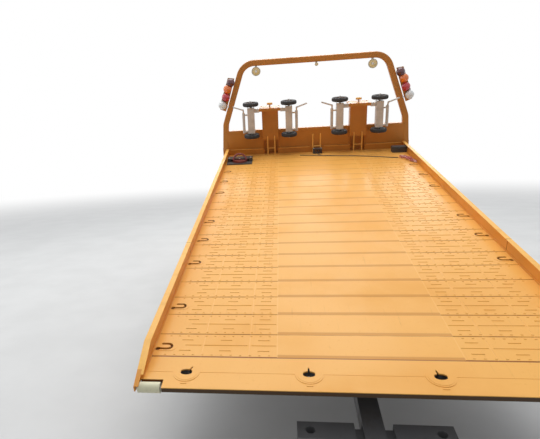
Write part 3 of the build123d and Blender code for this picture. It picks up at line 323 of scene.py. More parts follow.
# Finishes, a row each: clean colour, dirt colour, dirt amount, blotch size, low end of the splashes,
# roughness, coat, grain size, bump, metallic, specular
finishes = {
    "orangePaint": ((0.72, 0.292, 0.04), (0.50, 0.23, 0.05), 0.35, 1.6, 0.7, 0.3, 0.14, 420, 0.03, 0.0, 0.32),
    # painted shade: the body's orange made darker for the headboard, posts, hoop and their plates and welds, which
    # face away from the main light
    "shadedHeadOrange": ((0.56, 0.215, 0.032), (0.38, 0.15, 0.03), 0.4, 3.0, 0.7, 0.34, 0.12, 420, 0.03, 0.0, 0.3),
    # painted highlight: a pale orange for edges and tops that catch the light, on the kick strips, rail lips, head
    # bars and post knobs
    "highlightOrange": ((0.93, 0.50, 0.11), (0.70, 0.34, 0.08), 0.4, 12.0, 0.3, 0.4, 0.1, 320, 0.04, 0.0, 0.3),
    # dark brown for painted shade under and round the lashing slots and round the tail rollers, and for the dark
    # joints in the rails
    "shadeAndJointBrown": ((0.13, 0.040, 0.008), (0.30, 0.12, 0.03), 0.4, 20.0, 0.3, 0.6, 0.0, 320, 0.04, 0.0, 0.2),
    "deckPaint": ((0.83, 0.415, 0.085), (0.74, 0.33, 0.06), 0.55, 1.3, 0.2, 0.36, 0.06, 320, 0.04, 0.0, 0.28),
    # painted shade: the grey paint made much darker for the underlift, which lies in the shade under the deck
    "shadedLiftGrey": ((0.15, 0.15, 0.155), (0.12, 0.10, 0.085), 0.6, 7.0, 0.7, 0.5, 0.05, 260, 0.1),
    "chassisBlack": ((0.018, 0.018, 0.02), (0.10, 0.085, 0.07), 0.75, 3.0, 0.9, 0.5, 0.1, 260, 0.06),
    "greyPaint": ((0.62, 0.57, 0.52), (0.30, 0.25, 0.20), 0.4, 9.0, 0.6, 0.42, 0.2, 300, 0.04),
    "wheelPaint": ((0.46, 0.46, 0.45), (0.12, 0.10, 0.08), 0.7, 6.0, 0.8, 0.45, 0.2, 300, 0.05),
    "tyreRubber": ((0.016, 0.016, 0.017), (0.11, 0.10, 0.085), 0.7, 5.0, 0.25, 0.78, 0.0, 240, 0.15),
    "wheelRubber": ((0.022, 0.022, 0.024), (0.09, 0.085, 0.08), 0.5, 9.0, 0.3, 0.7, 0.0, 260, 0.12),
    "darkPlastic": ((0.03, 0.03, 0.032), (0.10, 0.09, 0.08), 0.45, 5.0, 0.6, 0.55, 0.05, 500, 0.12),
    "castIron": ((0.075, 0.07, 0.066), (0.15, 0.075, 0.04), 0.7, 8.0, 0.7, 0.62, 0.0, 220, 0.2, 0.5),
    "maroonPaint": ((0.20, 0.022, 0.016), (0.16, 0.07, 0.05), 0.45, 9.0, 0.5, 0.4, 0.2, 300, 0.05),
    "nylonCream": ((0.72, 0.68, 0.47), (0.40, 0.36, 0.24), 0.4, 12.0, 0.2, 0.45, 0.1, 300, 0.04),
    "chromeSteel": ((0.72, 0.72, 0.72), (0.25, 0.24, 0.22), 0.3, 9.0, 0.5, 0.18, 0.0, 300, 0.02, 1.0),
    "tankAluminium": ((0.62, 0.63, 0.64), (0.20, 0.18, 0.16), 0.45, 4.0, 0.7, 0.34, 0.0, 260, 0.05, 0.9),
    "lampSilver": ((0.55, 0.53, 0.48), (0.25, 0.22, 0.18), 0.4, 14.0, 0.3, 0.35, 0.3, 300, 0.04, 0.6),
    "steelRope": ((0.09, 0.08, 0.07), (0.20, 0.12, 0.07), 0.6, 30.0, 0.3, 0.55, 0.0, 700, 0.3, 0.6),
    "redWebbing": ((0.42, 0.045, 0.04), (0.62, 0.45, 0.40), 0.8, 60.0, 0.3, 0.6, 0.0, 500, 0.15),
    "paleWebbing": ((0.70, 0.50, 0.46), (0.45, 0.08, 0.07), 0.8, 60.0, 0.3, 0.6, 0.0, 500, 0.15),
    "clearLens": ((0.78, 0.79, 0.78), (0.45, 0.43, 0.40), 0.3, 20.0, 0.3, 0.12, 0.8, 150, 0.25),
    "redLens": ((0.56, 0.012, 0.03), (0.25, 0.03, 0.03), 0.3, 20.0, 0.3, 0.12, 0.8, 150, 0.25),
    "darkRedLens": ((0.10, 0.008, 0.012), (0.12, 0.03, 0.03), 0.3, 20.0, 0.3, 0.14, 0.8, 150, 0.25),
    "warmLens": ((0.86, 0.70, 0.33), (0.5, 0.40, 0.2), 0.3, 20.0, 0.3, 0.15, 0.8, 150, 0.3),
    "amberLens": ((0.90, 0.20, 0.012), (0.5, 0.16, 0.03), 0.3, 20.0, 0.3, 0.12, 0.8, 150, 0.25),
    "windowGlass": ((0.60, 0.66, 0.66), (0.45, 0.43, 0.40), 0.2, 2.0, 0.9, 0.05, 0.0, 80, 0.01),
}
finishShared = {
    "dirtDullness": 0.45, "bumpDistance": 0.002, "coatRough": 0.08, "glassThrough": 0.9, "glassIor": 1.3,
}


def buildFinish(
    name, color, dirt, amount, blotch, lowEnd, rough, coat, grain, bump, metallic=0.0, specular=0.5,
):
    material = bpy.data.materials.new(name)
    material.use_nodes = True
    tree = material.node_tree
    road = addGroup(
        tree, roadDirt, Clean=(*color, 1), Dirt=(*dirt, 1), Amount=amount, Blotch_size=blotch, Low_end=lowEnd,
    )
    dull = product(tree, road.outputs["Mask"], finishShared["dirtDullness"])
    peel = addGroup(tree, surfaceGrain, Grain_size=grain)
    relief = addNode(
        tree, "ShaderNodeBump", Strength=bump, Distance=finishShared["bumpDistance"],
        Height=peel.outputs["Height"],
    )
    feed(
        tree, tree.nodes["Principled BSDF"], Base_Color=road.outputs["Color"],
        Roughness=mathNode(tree, "ADD", dull, rough), Normal=relief.outputs["Normal"], Metallic=metallic,
        Specular_IOR_Level=specular, Coat_Weight=coat, Coat_Roughness=finishShared["coatRough"],
    )
    return material


def clearGlass(material):
    feed(
        material.node_tree, material.node_tree.nodes["Principled BSDF"],
        Transmission_Weight=finishShared["glassThrough"], IOR=finishShared["glassIor"],
    )


def markSeams(material):
    tree = material.node_tree
    base = tree.nodes["Principled BSDF"].inputs["Base Color"]
    marks = addGroup(tree, deckSeams, Color=base.links[0].from_socket)
    tree.links.new(marks.outputs["Color"], base)


paints = {name: buildFinish(name, *row) for name, row in finishes.items()}
clearGlass(paints["windowGlass"])
markSeams(paints["deckPaint"])

# The finishes of each slot in the record, its nodes' own first, and nodes that wear another of them
slotPaints = {
    "orange_paint": ("orangePaint", "deckPaint", "shadedHeadOrange", "highlightOrange", "shadeAndJointBrown"),
    "chassis_black": ("chassisBlack",), "grey_paint": ("greyPaint", "shadedLiftGrey"),
    "wheel_paint": ("wheelPaint",), "tyre_rubber": ("tyreRubber",), "wheel_rubber": ("wheelRubber",),
    "window_glass": ("windowGlass",), "dark_plastic": ("darkPlastic",),
    "lamp_lens": ("clearLens", "redLens", "darkRedLens", "amberLens", "warmLens"),
    "cast_iron": ("castIron", "steelRope"), "nylon": ("nylonCream",), "chrome": ("chromeSteel", "lampSilver"),
    "tank_aluminium": ("tankAluminium",), "maroon_paint": ("maroonPaint", "redWebbing", "paleWebbing"),
}
nodePaint = {
    "bed_deck": "deckPaint", "deck_planks": "deckPaint", "lashing_planks": "deckPaint",
    # painted shade on the head frame and painted highlight on the head bars
    "head_frame": "shadedHeadOrange", "head_bars": "highlightOrange",
    # painted shade: the underlift in a darkened grey
    "lift_head": "shadedLiftGrey", "lift_arm": "shadedLiftGrey", "lift_boom": "shadedLiftGrey",
}


def paintNodes():
    for part in frame["record"]["subparts"]:
        paint = nodePaint.get(part["node"], slotPaints[part["material_slot"]][0])
        materials = frame["nodes"][part["node"]].data.materials
        materials.clear()
        materials.append(paints[paint])


paintNodes()
print("finishes made")


def buildFloor():
    half = studio["floorHalf"]
    mesh = bpy.data.meshes.new("floor")
    corners = [(-half, -half, 0), (half, -half, 0), (half, half, 0), (-half, half, 0)]
    mesh.from_pydata(corners, [], [(0, 1, 2, 3)])
    floor = bpy.data.objects.new("floor", mesh)
    bpy.context.scene.collection.objects.link(floor)
    material = bpy.data.materials.new("floorPaint")
    material.use_nodes = True
    tree = material.node_tree
    place = objectPlace(tree)
    tone = rangeNode(tree, noiseNode(tree, place, *studio["floorNoise"]), *studio["floorBand"])
    darker = [value * studio["floorDarker"] for value in studio["floorColor"]]
    shader = feed(
        tree, tree.nodes["Principled BSDF"], Roughness=studio["floorRough"],
        Base_Color=mixColor(tree, tone, (*studio["floorColor"], 1), (*darker, 1)),
    )
    reach = addNode(tree, "ShaderNodeVectorMath", place)
    reach.operation = "LENGTH"
    far = rangeNode(tree, reach.outputs["Value"], *studio["floorFade"])
    white = tree.nodes.new("ShaderNodeEmission")
    hidden = product(tree, far, seenRays(tree))
    fade = addNode(tree, "ShaderNodeMixShader", hidden, shader.outputs[0], white.outputs[0])
    tree.links.new(fade.outputs[0], tree.nodes["Material Output"].inputs["Surface"])
    mesh.materials.append(material)


buildFloor()


# Making pieces
def finishPiece(name, mesh, paint, body, smoothAngle=35):
    piece = bpy.data.objects.new(name, mesh)
    bpy.context.scene.collection.objects.link(piece)
    mesh.materials.clear()
    mesh.materials.append(paints[paint])
    mesh.shade_smooth()
    mesh.set_sharp_from_angle(angle=math.radians(smoothAngle))
    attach(piece, body)
    return piece


def meshPiece(name, bm, paint, body="chassis", place=Matrix.Identity(4)):
    bmesh.ops.transform(bm, matrix=place, verts=bm.verts)
    bmesh.ops.recalc_face_normals(bm, faces=bm.faces)
    mesh = bpy.data.meshes.new(name)
    bm.to_mesh(mesh)
    bm.free()
    return finishPiece(name, mesh, paint, body)


def boxPiece(name, paint, boxes, body="chassis", place=Matrix.Identity(4)):
    bm = bmesh.new()
    for box in boxes:
        addBox(bm, *box)
    return meshPiece(name, bm, paint, body, place)


def growPiece(name, tree, values, paint, body, place=Matrix.Identity(4), points=(), joined=False):
    # Runs the tree on a mesh of the given points and keeps the plain result
    seed = bpy.data.meshes.new(name + "Seed")
    edges = [(step, step + 1) for step in range(len(points) - 1)] if joined else []
    seed.from_pydata([tuple(point) for point in points], edges, [])
    host = bpy.data.objects.new(name + "Host", seed)
    bpy.context.scene.collection.objects.link(host)
    modifier = host.modifiers.new(name, "NODES")
    modifier.node_group = tree
    labels = dict(values, Paint=paints[paint])
    for item in tree.interface.items_tree:
        if item.in_out == "INPUT" and item.name in labels:
            modifier[item.identifier] = labels[item.name]
    bpy.context.view_layer.update()
    grown = host.evaluated_get(bpy.context.evaluated_depsgraph_get())
    mesh = bpy.data.meshes.new_from_object(grown)
    bpy.data.objects.remove(host)
    mesh.transform(place)
    mesh.name = name
    return finishPiece(name, mesh, paint, body)


# Shapes for hand-built pieces
def span(middle, half):
    return middle - half, middle + half


def addBox(bm, x, y, z, bevel=0.0):
    ranges = [sorted(ends) for ends in (x, y, z)]
    middle = [(low + high) / 2 for low, high in ranges]
    size = [high - low for low, high in ranges]
    place = Matrix.Translation(middle) @ Matrix.Diagonal((*size, 1))
    made = bmesh.ops.create_cube(bm, size=1, matrix=place)["verts"]
    if bevel:
        edges = list({edge for vert in made for edge in vert.link_edges})
        bmesh.ops.bevel(bm, geom=edges, offset=bevel, segments=2, profile=0.5, affect="EDGES")


def bothSides(*boxes):
    # boxes of (x, y, z, bevel), on the left and on the right
    return [((sign * x[0], sign * x[1]), y, z, bevel) for sign in (-1, 1) for x, y, z, bevel in boxes]


def addTube(bm, rings, closed=False):
    # rings of points, each joined to the next; closed joins the last to the first, else both are capped
    made = [[bm.verts.new(point) for point in ring] for ring in rings]
    pairs = list(zip(made, made[1:]))
    if closed:
        pairs.append((made[-1], made[0]))
    else:
        bm.faces.new(made[0])
        bm.faces.new(made[-1])
    for low, high in pairs:
        for step in range(len(low)):
            after = (step + 1) % len(low)
            bm.faces.new((low[step], low[after], high[after], high[step]))


def turnPoints(count, start=0.0, sweep=2 * math.pi):
    angles = [start + sweep * step / count for step in range(count)]
    return [(math.cos(angle), math.sin(angle)) for angle in angles]


def mirrorProfile(half):
    # half a profile of (radius, height) points and its mirror image
    return [*half, *((radius, -height) for radius, height in reversed(half))]


def addLathe(bm, profile, place, around=48):
    # profile of (radius, height) points, turned about the place's Z
    rings = []
    for radius, height in profile:
        circle = turnPoints(around) if radius > 1e-6 else [(0, 0)]
        rings.append([bm.verts.new(place @ Vector((radius * c, radius * s, height))) for c, s in circle])
    for low, high in zip(rings, rings[1:]):
        for step in range(around):
            after = (step + 1) % around
            if len(low) == 1 and len(high) == 1:
                continue
            if len(low) == 1:
                bm.faces.new((low[0], high[after], high[step]))
            elif len(high) == 1:
                bm.faces.new((low[step], low[after], high[0]))
            else:
                bm.faces.new((low[step], low[after], high[after], high[step]))


def addRod(bm, place, radius, low, high, crown=0.0, around=20):
    addLathe(bm, [(0, low), (radius, low), (radius, high), (0, high + crown)], place, around)


def aimed(start, along):
    turn = Vector(along).to_track_quat("Z", "X").to_matrix().to_4x4()
    return Matrix.Translation(start) @ turn


def addPipe(bm, points, radius, sides=8, closed=False):
    points = [Vector(point) for point in points]
    count = len(points)
    rings = []
    side = None
    for index, point in enumerate(points):
        before = points[index - 1] if index or closed else point
        after = points[(index + 1) % count] if index + 1 < count or closed else point
        along = (after - before).normalized()
        if side is None:
            side = along.orthogonal().normalized()
        side = (side - along * side.dot(along)).normalized()
        other = along.cross(side)
        rings.append([point + radius * (c * side + s * other) for c, s in turnPoints(sides)])
    addTube(bm, rings, closed)


def smoothRoute(points, steps=6):
    # Catmull-Rom through the given points
    points = [Vector(point) for point in points]
    padded = [2 * points[0] - points[1], *points, 2 * points[-1] - points[-2]]
    route = []
    for a, b, c, d in zip(padded, padded[1:], padded[2:], padded[3:]):
        for t in (step / steps for step in range(steps)):
            square = (2 * a - 5 * b + 4 * c - d) * t**2
            cube = (3 * b - a - 3 * c + d) * t**3
            route.append(0.5 * (2 * b + (c - a) * t + square + cube))
    return route + [points[-1]]


def alongSides(corners, shares):
    # points at the given shares of each side of a closed outline
    return [
        (a0 + share * (a1 - a0), b0 + share * (b1 - b0))
        for (a0, b0), (a1, b1) in zip(corners, corners[1:] + corners[:1]) for share in shares
    ]


# Geometry Nodes: every tree has named inputs and ends in Realize Instances and Set Material
def startGrower(name, inputs):
    inputs = {"Geometry": "Geometry", **inputs, "Paint": "Material"}
    return newTree("GeometryNodeTree", name, inputs, {"Geometry": "Geometry"})


def endGrower(tree, given, result, geometry):
    real = addNode(tree, "GeometryNodeRealizeInstances", Geometry=geometry)
    painted = addNode(tree, "GeometryNodeSetMaterial", Geometry=real.outputs[0], Material=given["Paint"])
    tree.links.new(painted.outputs[0], result["Geometry"])
    return tree


def onPoints(tree, points, instance, **more):
    spread = addNode(tree, "GeometryNodeInstanceOnPoints", Points=points, Instance=instance, **more)
    return spread.outputs[0]


def buildBarGrid():
    # Rows of bars: along x in a row, the rows along y
    tree, given, result = startGrower("barGrid", {
        "First": (0, 0, 0), "Bars": 4, "Bar step": (0.1, 0, 0), "Rows": 2, "Row step": (0, 0.1, 0),
        "Bar size": (0.06, 0.007, 0.003), "Top shrink": 0.6, "End shrink": 0.96,
    })
    line = addNode(
        tree, "GeometryNodeMeshLine", Count=given["Bars"], Offset=given["Bar step"],
        Start_Location=given["First"],
    )
    rows = addNode(tree, "GeometryNodeMeshLine", Count=given["Rows"], Offset=given["Row step"])
    grid = onPoints(tree, rows.outputs[0], line.outputs[0])
    spots = addNode(tree, "GeometryNodeRealizeInstances", Geometry=grid)
    bar = addNode(tree, "GeometryNodeMeshCube", Size=given["Bar size"])
    where = tree.nodes.new("GeometryNodeInputPosition").outputs[0]
    upper = tree.nodes.new("FunctionNodeCompare")
    upper.data_type = "FLOAT"
    upper.operation = "GREATER_THAN"
    feed(tree, upper, addNode(tree, "ShaderNodeSeparateXYZ", where).outputs["Z"])
    narrow = addNode(tree, "ShaderNodeCombineXYZ", X=given["End shrink"], Y=given["Top shrink"], Z=1.0)
    shrunk = addNode(tree, "ShaderNodeVectorMath", where, narrow.outputs[0])
    shrunk.operation = "MULTIPLY"
    tapered = addNode(
        tree, "GeometryNodeSetPosition", Geometry=bar.outputs[0], Selection=upper.outputs[0],
        Position=shrunk.outputs[0],
    )
    return endGrower(tree, given, result, onPoints(tree, spots.outputs[0], tapered.outputs[0]))


def buildLugRing():
    # A block repeated round an axle, in rows along it
    tree, given, result = startGrower("lugRing", {
        "Radius": 0.375, "Lugs": 48, "Rows": 2, "Row step": 0.05, "First row": 0.0,
        "Lug size": (0.02, 0.02, 0.01),
    })
    circle = addNode(tree, "GeometryNodeMeshCircle", Vertices=given["Lugs"], Radius=given["Radius"])
    where = tree.nodes.new("GeometryNodeInputPosition").outputs[0]
    alongAxle = addNode(tree, "FunctionNodeAlignEulerToVector", Vector=(0, 0, 1))
    alongAxle.axis = "X"
    outward = addNode(tree, "FunctionNodeAlignEulerToVector", Rotation=alongAxle.outputs[0], Vector=where)
    outward.axis = "Z"
    outward.pivot_axis = "X"
    start = addNode(tree, "ShaderNodeCombineXYZ", Z=given["First row"])
    step = addNode(tree, "ShaderNodeCombineXYZ", Z=given["Row step"])
    rows = addNode(
        tree, "GeometryNodeMeshLine", Count=given["Rows"], Offset=step.outputs[0],
        Start_Location=start.outputs[0],
    )
    lug = addNode(tree, "GeometryNodeMeshCube", Size=given["Lug size"])
    ring = onPoints(tree, circle.outputs[0], lug.outputs[0], Rotation=outward.outputs[0])
    return endGrower(tree, given, result, onPoints(tree, rows.outputs[0], ring))


def buildBoltField():
    # Hexagon bolts on points, their heads along the given direction, each on a washer
    tree, given, result = startGrower("boltField", {
        "Radius": 0.008, "Height": 0.006, "Sides": 6, "Direction": (0, 0, 1), "Washer": 1.45,
        "Washer depth": 0.003,
    })
    lift = addNode(tree, "ShaderNodeCombineXYZ", Z=product(tree, given["Height"], 0.5))
    head = addNode(
        tree, "GeometryNodeMeshCylinder", Vertices=given["Sides"], Radius=given["Radius"],
        Depth=given["Height"],
    )
    raised = addNode(tree, "GeometryNodeTransform", Geometry=head.outputs[0], Translation=lift.outputs[0])
    wide = product(tree, given["Radius"], given["Washer"])
    washer = addNode(tree, "GeometryNodeMeshCylinder", Vertices=20, Radius=wide, Depth=given["Washer depth"])
    bolt = tree.nodes.new("GeometryNodeJoinGeometry")
    tree.links.new(raised.outputs[0], bolt.inputs[0])
    tree.links.new(washer.outputs[0], bolt.inputs[0])
    turn = addNode(tree, "FunctionNodeAlignEulerToVector", Vector=given["Direction"])
    turn.axis = "Z"
    bolts = onPoints(tree, given["Geometry"], bolt.outputs[0], Rotation=turn.outputs[0])
    return endGrower(tree, given, result, bolts)


def buildRopeWinding():
    tree, given, result = startGrower("ropeWinding", {
        "Turns": 30.0, "Winding radius": 0.065, "Length": 0.3, "Rope radius": 0.005,
    })
    coil = addNode(
        tree, "GeometryNodeCurveSpiral", Resolution=30, Rotations=given["Turns"], Height=given["Length"],
        Start_Radius=given["Winding radius"], End_Radius=given["Winding radius"],
    )
    strand = addNode(tree, "GeometryNodeCurvePrimitiveCircle", Resolution=7, Radius=given["Rope radius"])
    tube = addNode(
        tree, "GeometryNodeCurveToMesh", Curve=coil.outputs[0], Profile_Curve=strand.outputs[0],
        Fill_Caps=True,
    )
    return endGrower(tree, given, result, tube.outputs[0])


def buildChainLinks():
    # Oval links along a route, each a quarter turn from the one before
    tree, given, result = startGrower("chainLinks", {
        "Step": 0.021, "Link half length": 0.012, "Link half width": 0.008, "Wire": 0.003,
        "First roll": math.radians(40),
    })
    line = addNode(tree, "GeometryNodeMeshToCurve", Mesh=given["Geometry"])
    even = tree.nodes.new("GeometryNodeResampleCurve")
    even.mode = "LENGTH"
    feed(tree, even, Curve=line.outputs[0], Length=given["Step"])
    tangent = tree.nodes.new("GeometryNodeInputTangent")
    turn = addNode(tree, "FunctionNodeAlignEulerToVector", Vector=tangent.outputs[0])
    turn.axis = "X"
    index = tree.nodes.new("GeometryNodeInputIndex").outputs[0]
    roll = mathNode(tree, "ADD", product(tree, index, math.radians(90)), given["First roll"])
    rolled = tree.nodes.new("FunctionNodeRotateEuler")
    rolled.space = "LOCAL"
    rollAxes = addNode(tree, "ShaderNodeCombineXYZ", X=roll)
    feed(tree, rolled, Rotation=turn.outputs[0], Rotate_By=rollAxes.outputs[0])
    ring = addNode(tree, "GeometryNodeCurvePrimitiveCircle", Resolution=14, Radius=1.0)
    long, wide = given["Link half length"], given["Link half width"]
    size = addNode(tree, "ShaderNodeCombineXYZ", X=long, Y=wide, Z=1.0)
    oval = addNode(tree, "GeometryNodeTransform", Geometry=ring.outputs[0], Scale=size.outputs[0])
    wire = addNode(tree, "GeometryNodeCurvePrimitiveCircle", Resolution=8, Radius=given["Wire"])
    link = addNode(tree, "GeometryNodeCurveToMesh", Curve=oval.outputs[0], Profile_Curve=wire.outputs[0])
    links = onPoints(tree, even.outputs[0], link.outputs[0], Rotation=rolled.outputs[0])
    return endGrower(tree, given, result, links)


barGrid = buildBarGrid()
lugRing = buildLugRing()
boltField = buildBoltField()


def boltOn(name, points, direction, size, paint, body, place=Matrix.Identity(4)):
    values = {"Radius": size[0], "Height": size[1], "Direction": direction}
    return growPiece(name, boltField, values, paint, body, place, points)


# Non-slip pressing on both sides of the deck: for each plank, dots beside the seams,
# two rows of dashes and a broken line down its middle
nonSlip = {
    "dotFirst": 0.476, "dotStep": 0.0479, "dots": 12, "dotSize": (0.012, 0.007, 0.0022), "dotFromSeam": 0.017,
    "dashColumns": (0.505, 0.700, 0.906), "dashSize": (0.061, 0.006, 0.0025), "dashAt": (0.27, 0.73),
    "lines": ((0.441, 0.569), (0.585, 0.814), (0.826, 0.912)), "lineSize": (0.005, 0.0022),
}


def pressRows(name, x, y, rows, size, bars=1, step=0.1):
    values = {
        "First": (x, y, nonSlip["dotSize"][2] / 2), "Bars": bars, "Bar step": (step, 0, 0), "Rows": rows,
        "Row step": (0, deck["seamPitch"], 0), "Bar size": size,
    }
    growPiece(name, barGrid, values, "deckPaint", *onDeck)


def pressNonSlip():
    seam, pitch, planks = deck["lastSeam"], deck["seamPitch"], deck["seams"] - 1
    for side, sign in (("Left", -1), ("Right", 1)):
        x, step = sign * nonSlip["dotFirst"], sign * nonSlip["dotStep"]
        off, size, dots = nonSlip["dotFromSeam"], nonSlip["dotSize"], nonSlip["dots"]
        pressRows(f"deckDots{side}Ahead", x, seam + off, planks + 1, size, dots, step)
        pressRows(f"deckDots{side}Behind", x, seam + pitch - off, planks, size, dots, step)
        for column, x in enumerate(nonSlip["dashColumns"]):
            for share in nonSlip["dashAt"]:
                name = f"deckDashes{side}{column}_{round(share * 100)}"
                pressRows(name, sign * x, seam + share * pitch, planks, nonSlip["dashSize"])
        for column, (near, far) in enumerate(nonSlip["lines"]):
            size = (far - near, *nonSlip["lineSize"])
            pressRows(f"deckLines{side}{column}", sign * (near + far) / 2, seam + pitch / 2, planks, size)


pressNonSlip()
print("deck pressed")

# Lamps on the hoop, in the deck's frame: stacked domes from the top down (name, finish, x, z), work lamps
# (x, z, radius) and their profiles as shares of radius and depth
hoopLamps = {
    "domes": (
        ("domesDark", "darkRedLens", 0.997, 0.906), ("domesAmber", "amberLens", 1.041, 0.834),
        ("domesRed", "redLens", 1.066, 0.737), ("domesClear", "clearLens", 1.115, 0.641),
    ),
    "domeRadius": 0.050, "domeHeight": 0.033, "domeRim": ((0, -0.002), (0.046, -0.002)), "baseDepth": 0.026,
    "base": ((0, 0), (0.046, 0), (0.046, 0.020), (0.049, 0.022), (0.049, 0.026), (0, 0.026)),
    "plate": ((0.95, 0.955), (1.03, 0.965), (1.15, 0.64), (1.15, 0.59), (1.08, 0.56), (1.03, 0.70)),
    "plateThickness": 0.006,
    "work": ((-0.682, 1.020, 0.054), (0.682, 1.020, 0.054), (0.035, 1.056, 0.020)),
    "workDepth": (-0.015, 0.035),
    "housing": ((0, 0), (0.6, 0), (0.92, 0.35), (1, 0.8), (1, 1), (0.86, 1), (0.84, 0.7), (0, 0.7)),
    "lens": ((0, 0.8), (0.85, 0.8), (0.85, 0.86), (0.5, 0.93), (0, 0.95)),
    "glow": ((0, 0.9), (0.30, 0.9), (0.26, 1.0), (0, 1.0)),
    "stalkHalf": 0.012, "stalkDepth": (0.022, 0.04), "hoopUnder": 1.081,
}


def domeProfile(radius, height, steps=8):
    bulge = (radius**2 + height**2) / (2 * height)
    widest = math.asin(radius / bulge)
    angles = [widest * (1 - step / steps) for step in range(steps + 1)]
    return [(bulge * math.sin(a), bulge * math.cos(a) - bulge + height) for a in angles]


def buildHoopLamps():
    lamps, front = hoopLamps, deck["length"]
    faceY = front - lamps["plateThickness"]
    dome = [*lamps["domeRim"], *domeProfile(lamps["domeRadius"], lamps["domeHeight"])]
    bases, plates = bmesh.new(), bmesh.new()
    for name, paint, x, z in lamps["domes"]:
        domes = bmesh.new()
        for sign in (-1, 1):
            spot = Matrix.Translation((sign * x, faceY - lamps["baseDepth"], z)) @ towardTail
            addLathe(domes, dome, spot, around=40)
            spot = Matrix.Translation((sign * x, faceY, z)) @ towardTail
            addLathe(bases, lamps["base"], spot, around=40)
        meshPiece(name, domes, paint, *onDeck)
    meshPiece("domeBases", bases, "darkPlastic", *onDeck)
    for sign in (-1, 1):
        addTube(plates, [[(sign * x, y, z) for x, z in lamps["plate"]] for y in (faceY, front)])
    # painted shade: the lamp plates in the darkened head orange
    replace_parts(meshPiece("lampPlates", plates, "shadedHeadOrange", *onDeck), "bed_lamps")
    housings, lenses, glows = bmesh.new(), bmesh.new(), bmesh.new()
    near, far = (front + depth for depth in lamps["workDepth"])
    for x, z, radius in lamps["work"]:
        place = Matrix.Translation((x, far, z)) @ towardTail
        for bm, part, around in ((housings, "housing", 48), (lenses, "lens", 48), (glows, "glow", 24)):
            addLathe(bm, [(r * radius, share * (far - near)) for r, share in lamps[part]], place, around)
        stalkY = [front + depth for depth in lamps["stalkDepth"]]
        addBox(housings, span(x, lamps["stalkHalf"]), stalkY, (z, lamps["hoopUnder"]))
    meshPiece("workLampHousings", housings, "lampSilver", *onDeck)
    meshPiece("workLampLenses", lenses, "warmLens", *onDeck)
    meshPiece("workLampCentres", glows, "clearLens", *onDeck)


buildHoopLamps()
print("hoop lamps built")

# Wheels: name, body, tyres' node and the x of each tyre; the tyre's section as (x, radius) from the bead
# out, shoulder lugs by Geometry Nodes, nuts, hub caps and flange bolts
wheels = {
    "places": (
        ("frontLeft", "front_wheel_left", "front_tyre_left", (-0.765,)),
        ("frontRight", "front_wheel_right", "front_tyre_right", (0.765,)),
        ("rearLeft", "rear_wheels_left", "rear_tyres_left", (-0.64, -0.88)),
        ("rearRight", "rear_wheels_right", "rear_tyres_right", (0.64, 0.88)),
    ),
    "radius": 0.3798, "grooveDepth": 0.008, "grooveHalf": 0.004, "grooves": (-0.030, 0.0, 0.030),
    "side": (
        (0.066, 0.203), (0.090, 0.222), (0.098, 0.250), (0.0995, 0.262), (0.1025, 0.300), (0.1015, 0.330),
        (0.096, 0.352), (0.086, 0.368), (0.078, 0.3725),
    ),
    "ribHalf": 0.050, "slope": 0.001, "lugs": 52, "lugSize": (0.026, 0.026, 0.012), "lugSink": 0.0005,
    "lugRows": (("Outer", 0.064), ("Inner", -0.064)),
    "front": {"face": 0.800, "nutCircle": 0.084, "nuts": 6, "capFace": 0.805, "capRadius": 0.048},
    "rear": {"face": 0.769, "nutCircle": 0.112, "nuts": 8, "capFace": 0.870, "capRadius": 0.052},
    "nutSize": (0.014, 0.022), "capBack": -0.004, "capSide": 0.010, "capEdge": 0.016, "capTop": 0.018,
    "capBevel": 0.006, "flangeBolts": 8, "flangeCircle": 0.074, "flangeBoltSize": (0.0075, 0.009),
}


def tyreSection():
    radius, half, slope = wheels["radius"], wheels["grooveHalf"], wheels["slope"]
    floor = radius - wheels["grooveDepth"]
    side = wheels["side"]
    step = [(-wheels["ribHalf"] - slope, floor), (-wheels["ribHalf"], radius)]
    section = [(-x, r) for x, r in side] + step
    for middle in wheels["grooves"]:
        section += [(middle - half - slope, radius), (middle - half, floor)]
        section += [(middle + half, floor), (middle + half + slope, radius)]
    section += [(-x, r) for x, r in reversed(step)] + list(reversed(side))
    return [(r, x) for x, r in section] + [(side[0][1], -side[0][0])]


def wheelPlace(body, x, turn=towardRight):
    return Matrix.Translation((x, *jointOf[body]["pos_m"][1:])) @ turn


def buildTyres():
    long, wide, tall = wheels["lugSize"]
    values = {
        "Radius": wheels["radius"] - tall / 2 - wheels["lugSink"], "Lugs": wheels["lugs"], "Rows": 1,
        "Lug size": (wide, long, tall),
    }
    for name, body, node, places in wheels["places"]:
        bm = bmesh.new()
        for x in places:
            addLathe(bm, tyreSection(), wheelPlace(body, x), around=96)
        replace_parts(meshPiece(name + "Tyre", bm, "tyreRubber", body), node)
        for order, x in enumerate(places):
            for label, row in wheels["lugRows"]:
                values["First row"] = row
                place = wheelPlace(body, x)
                growPiece(f"{name}Lugs{order}{label}", lugRing, values, "tyreRubber", body, place)


def ringPoints(count, radius, height):
    return [(radius * c, radius * s, height) for c, s in turnPoints(count)]


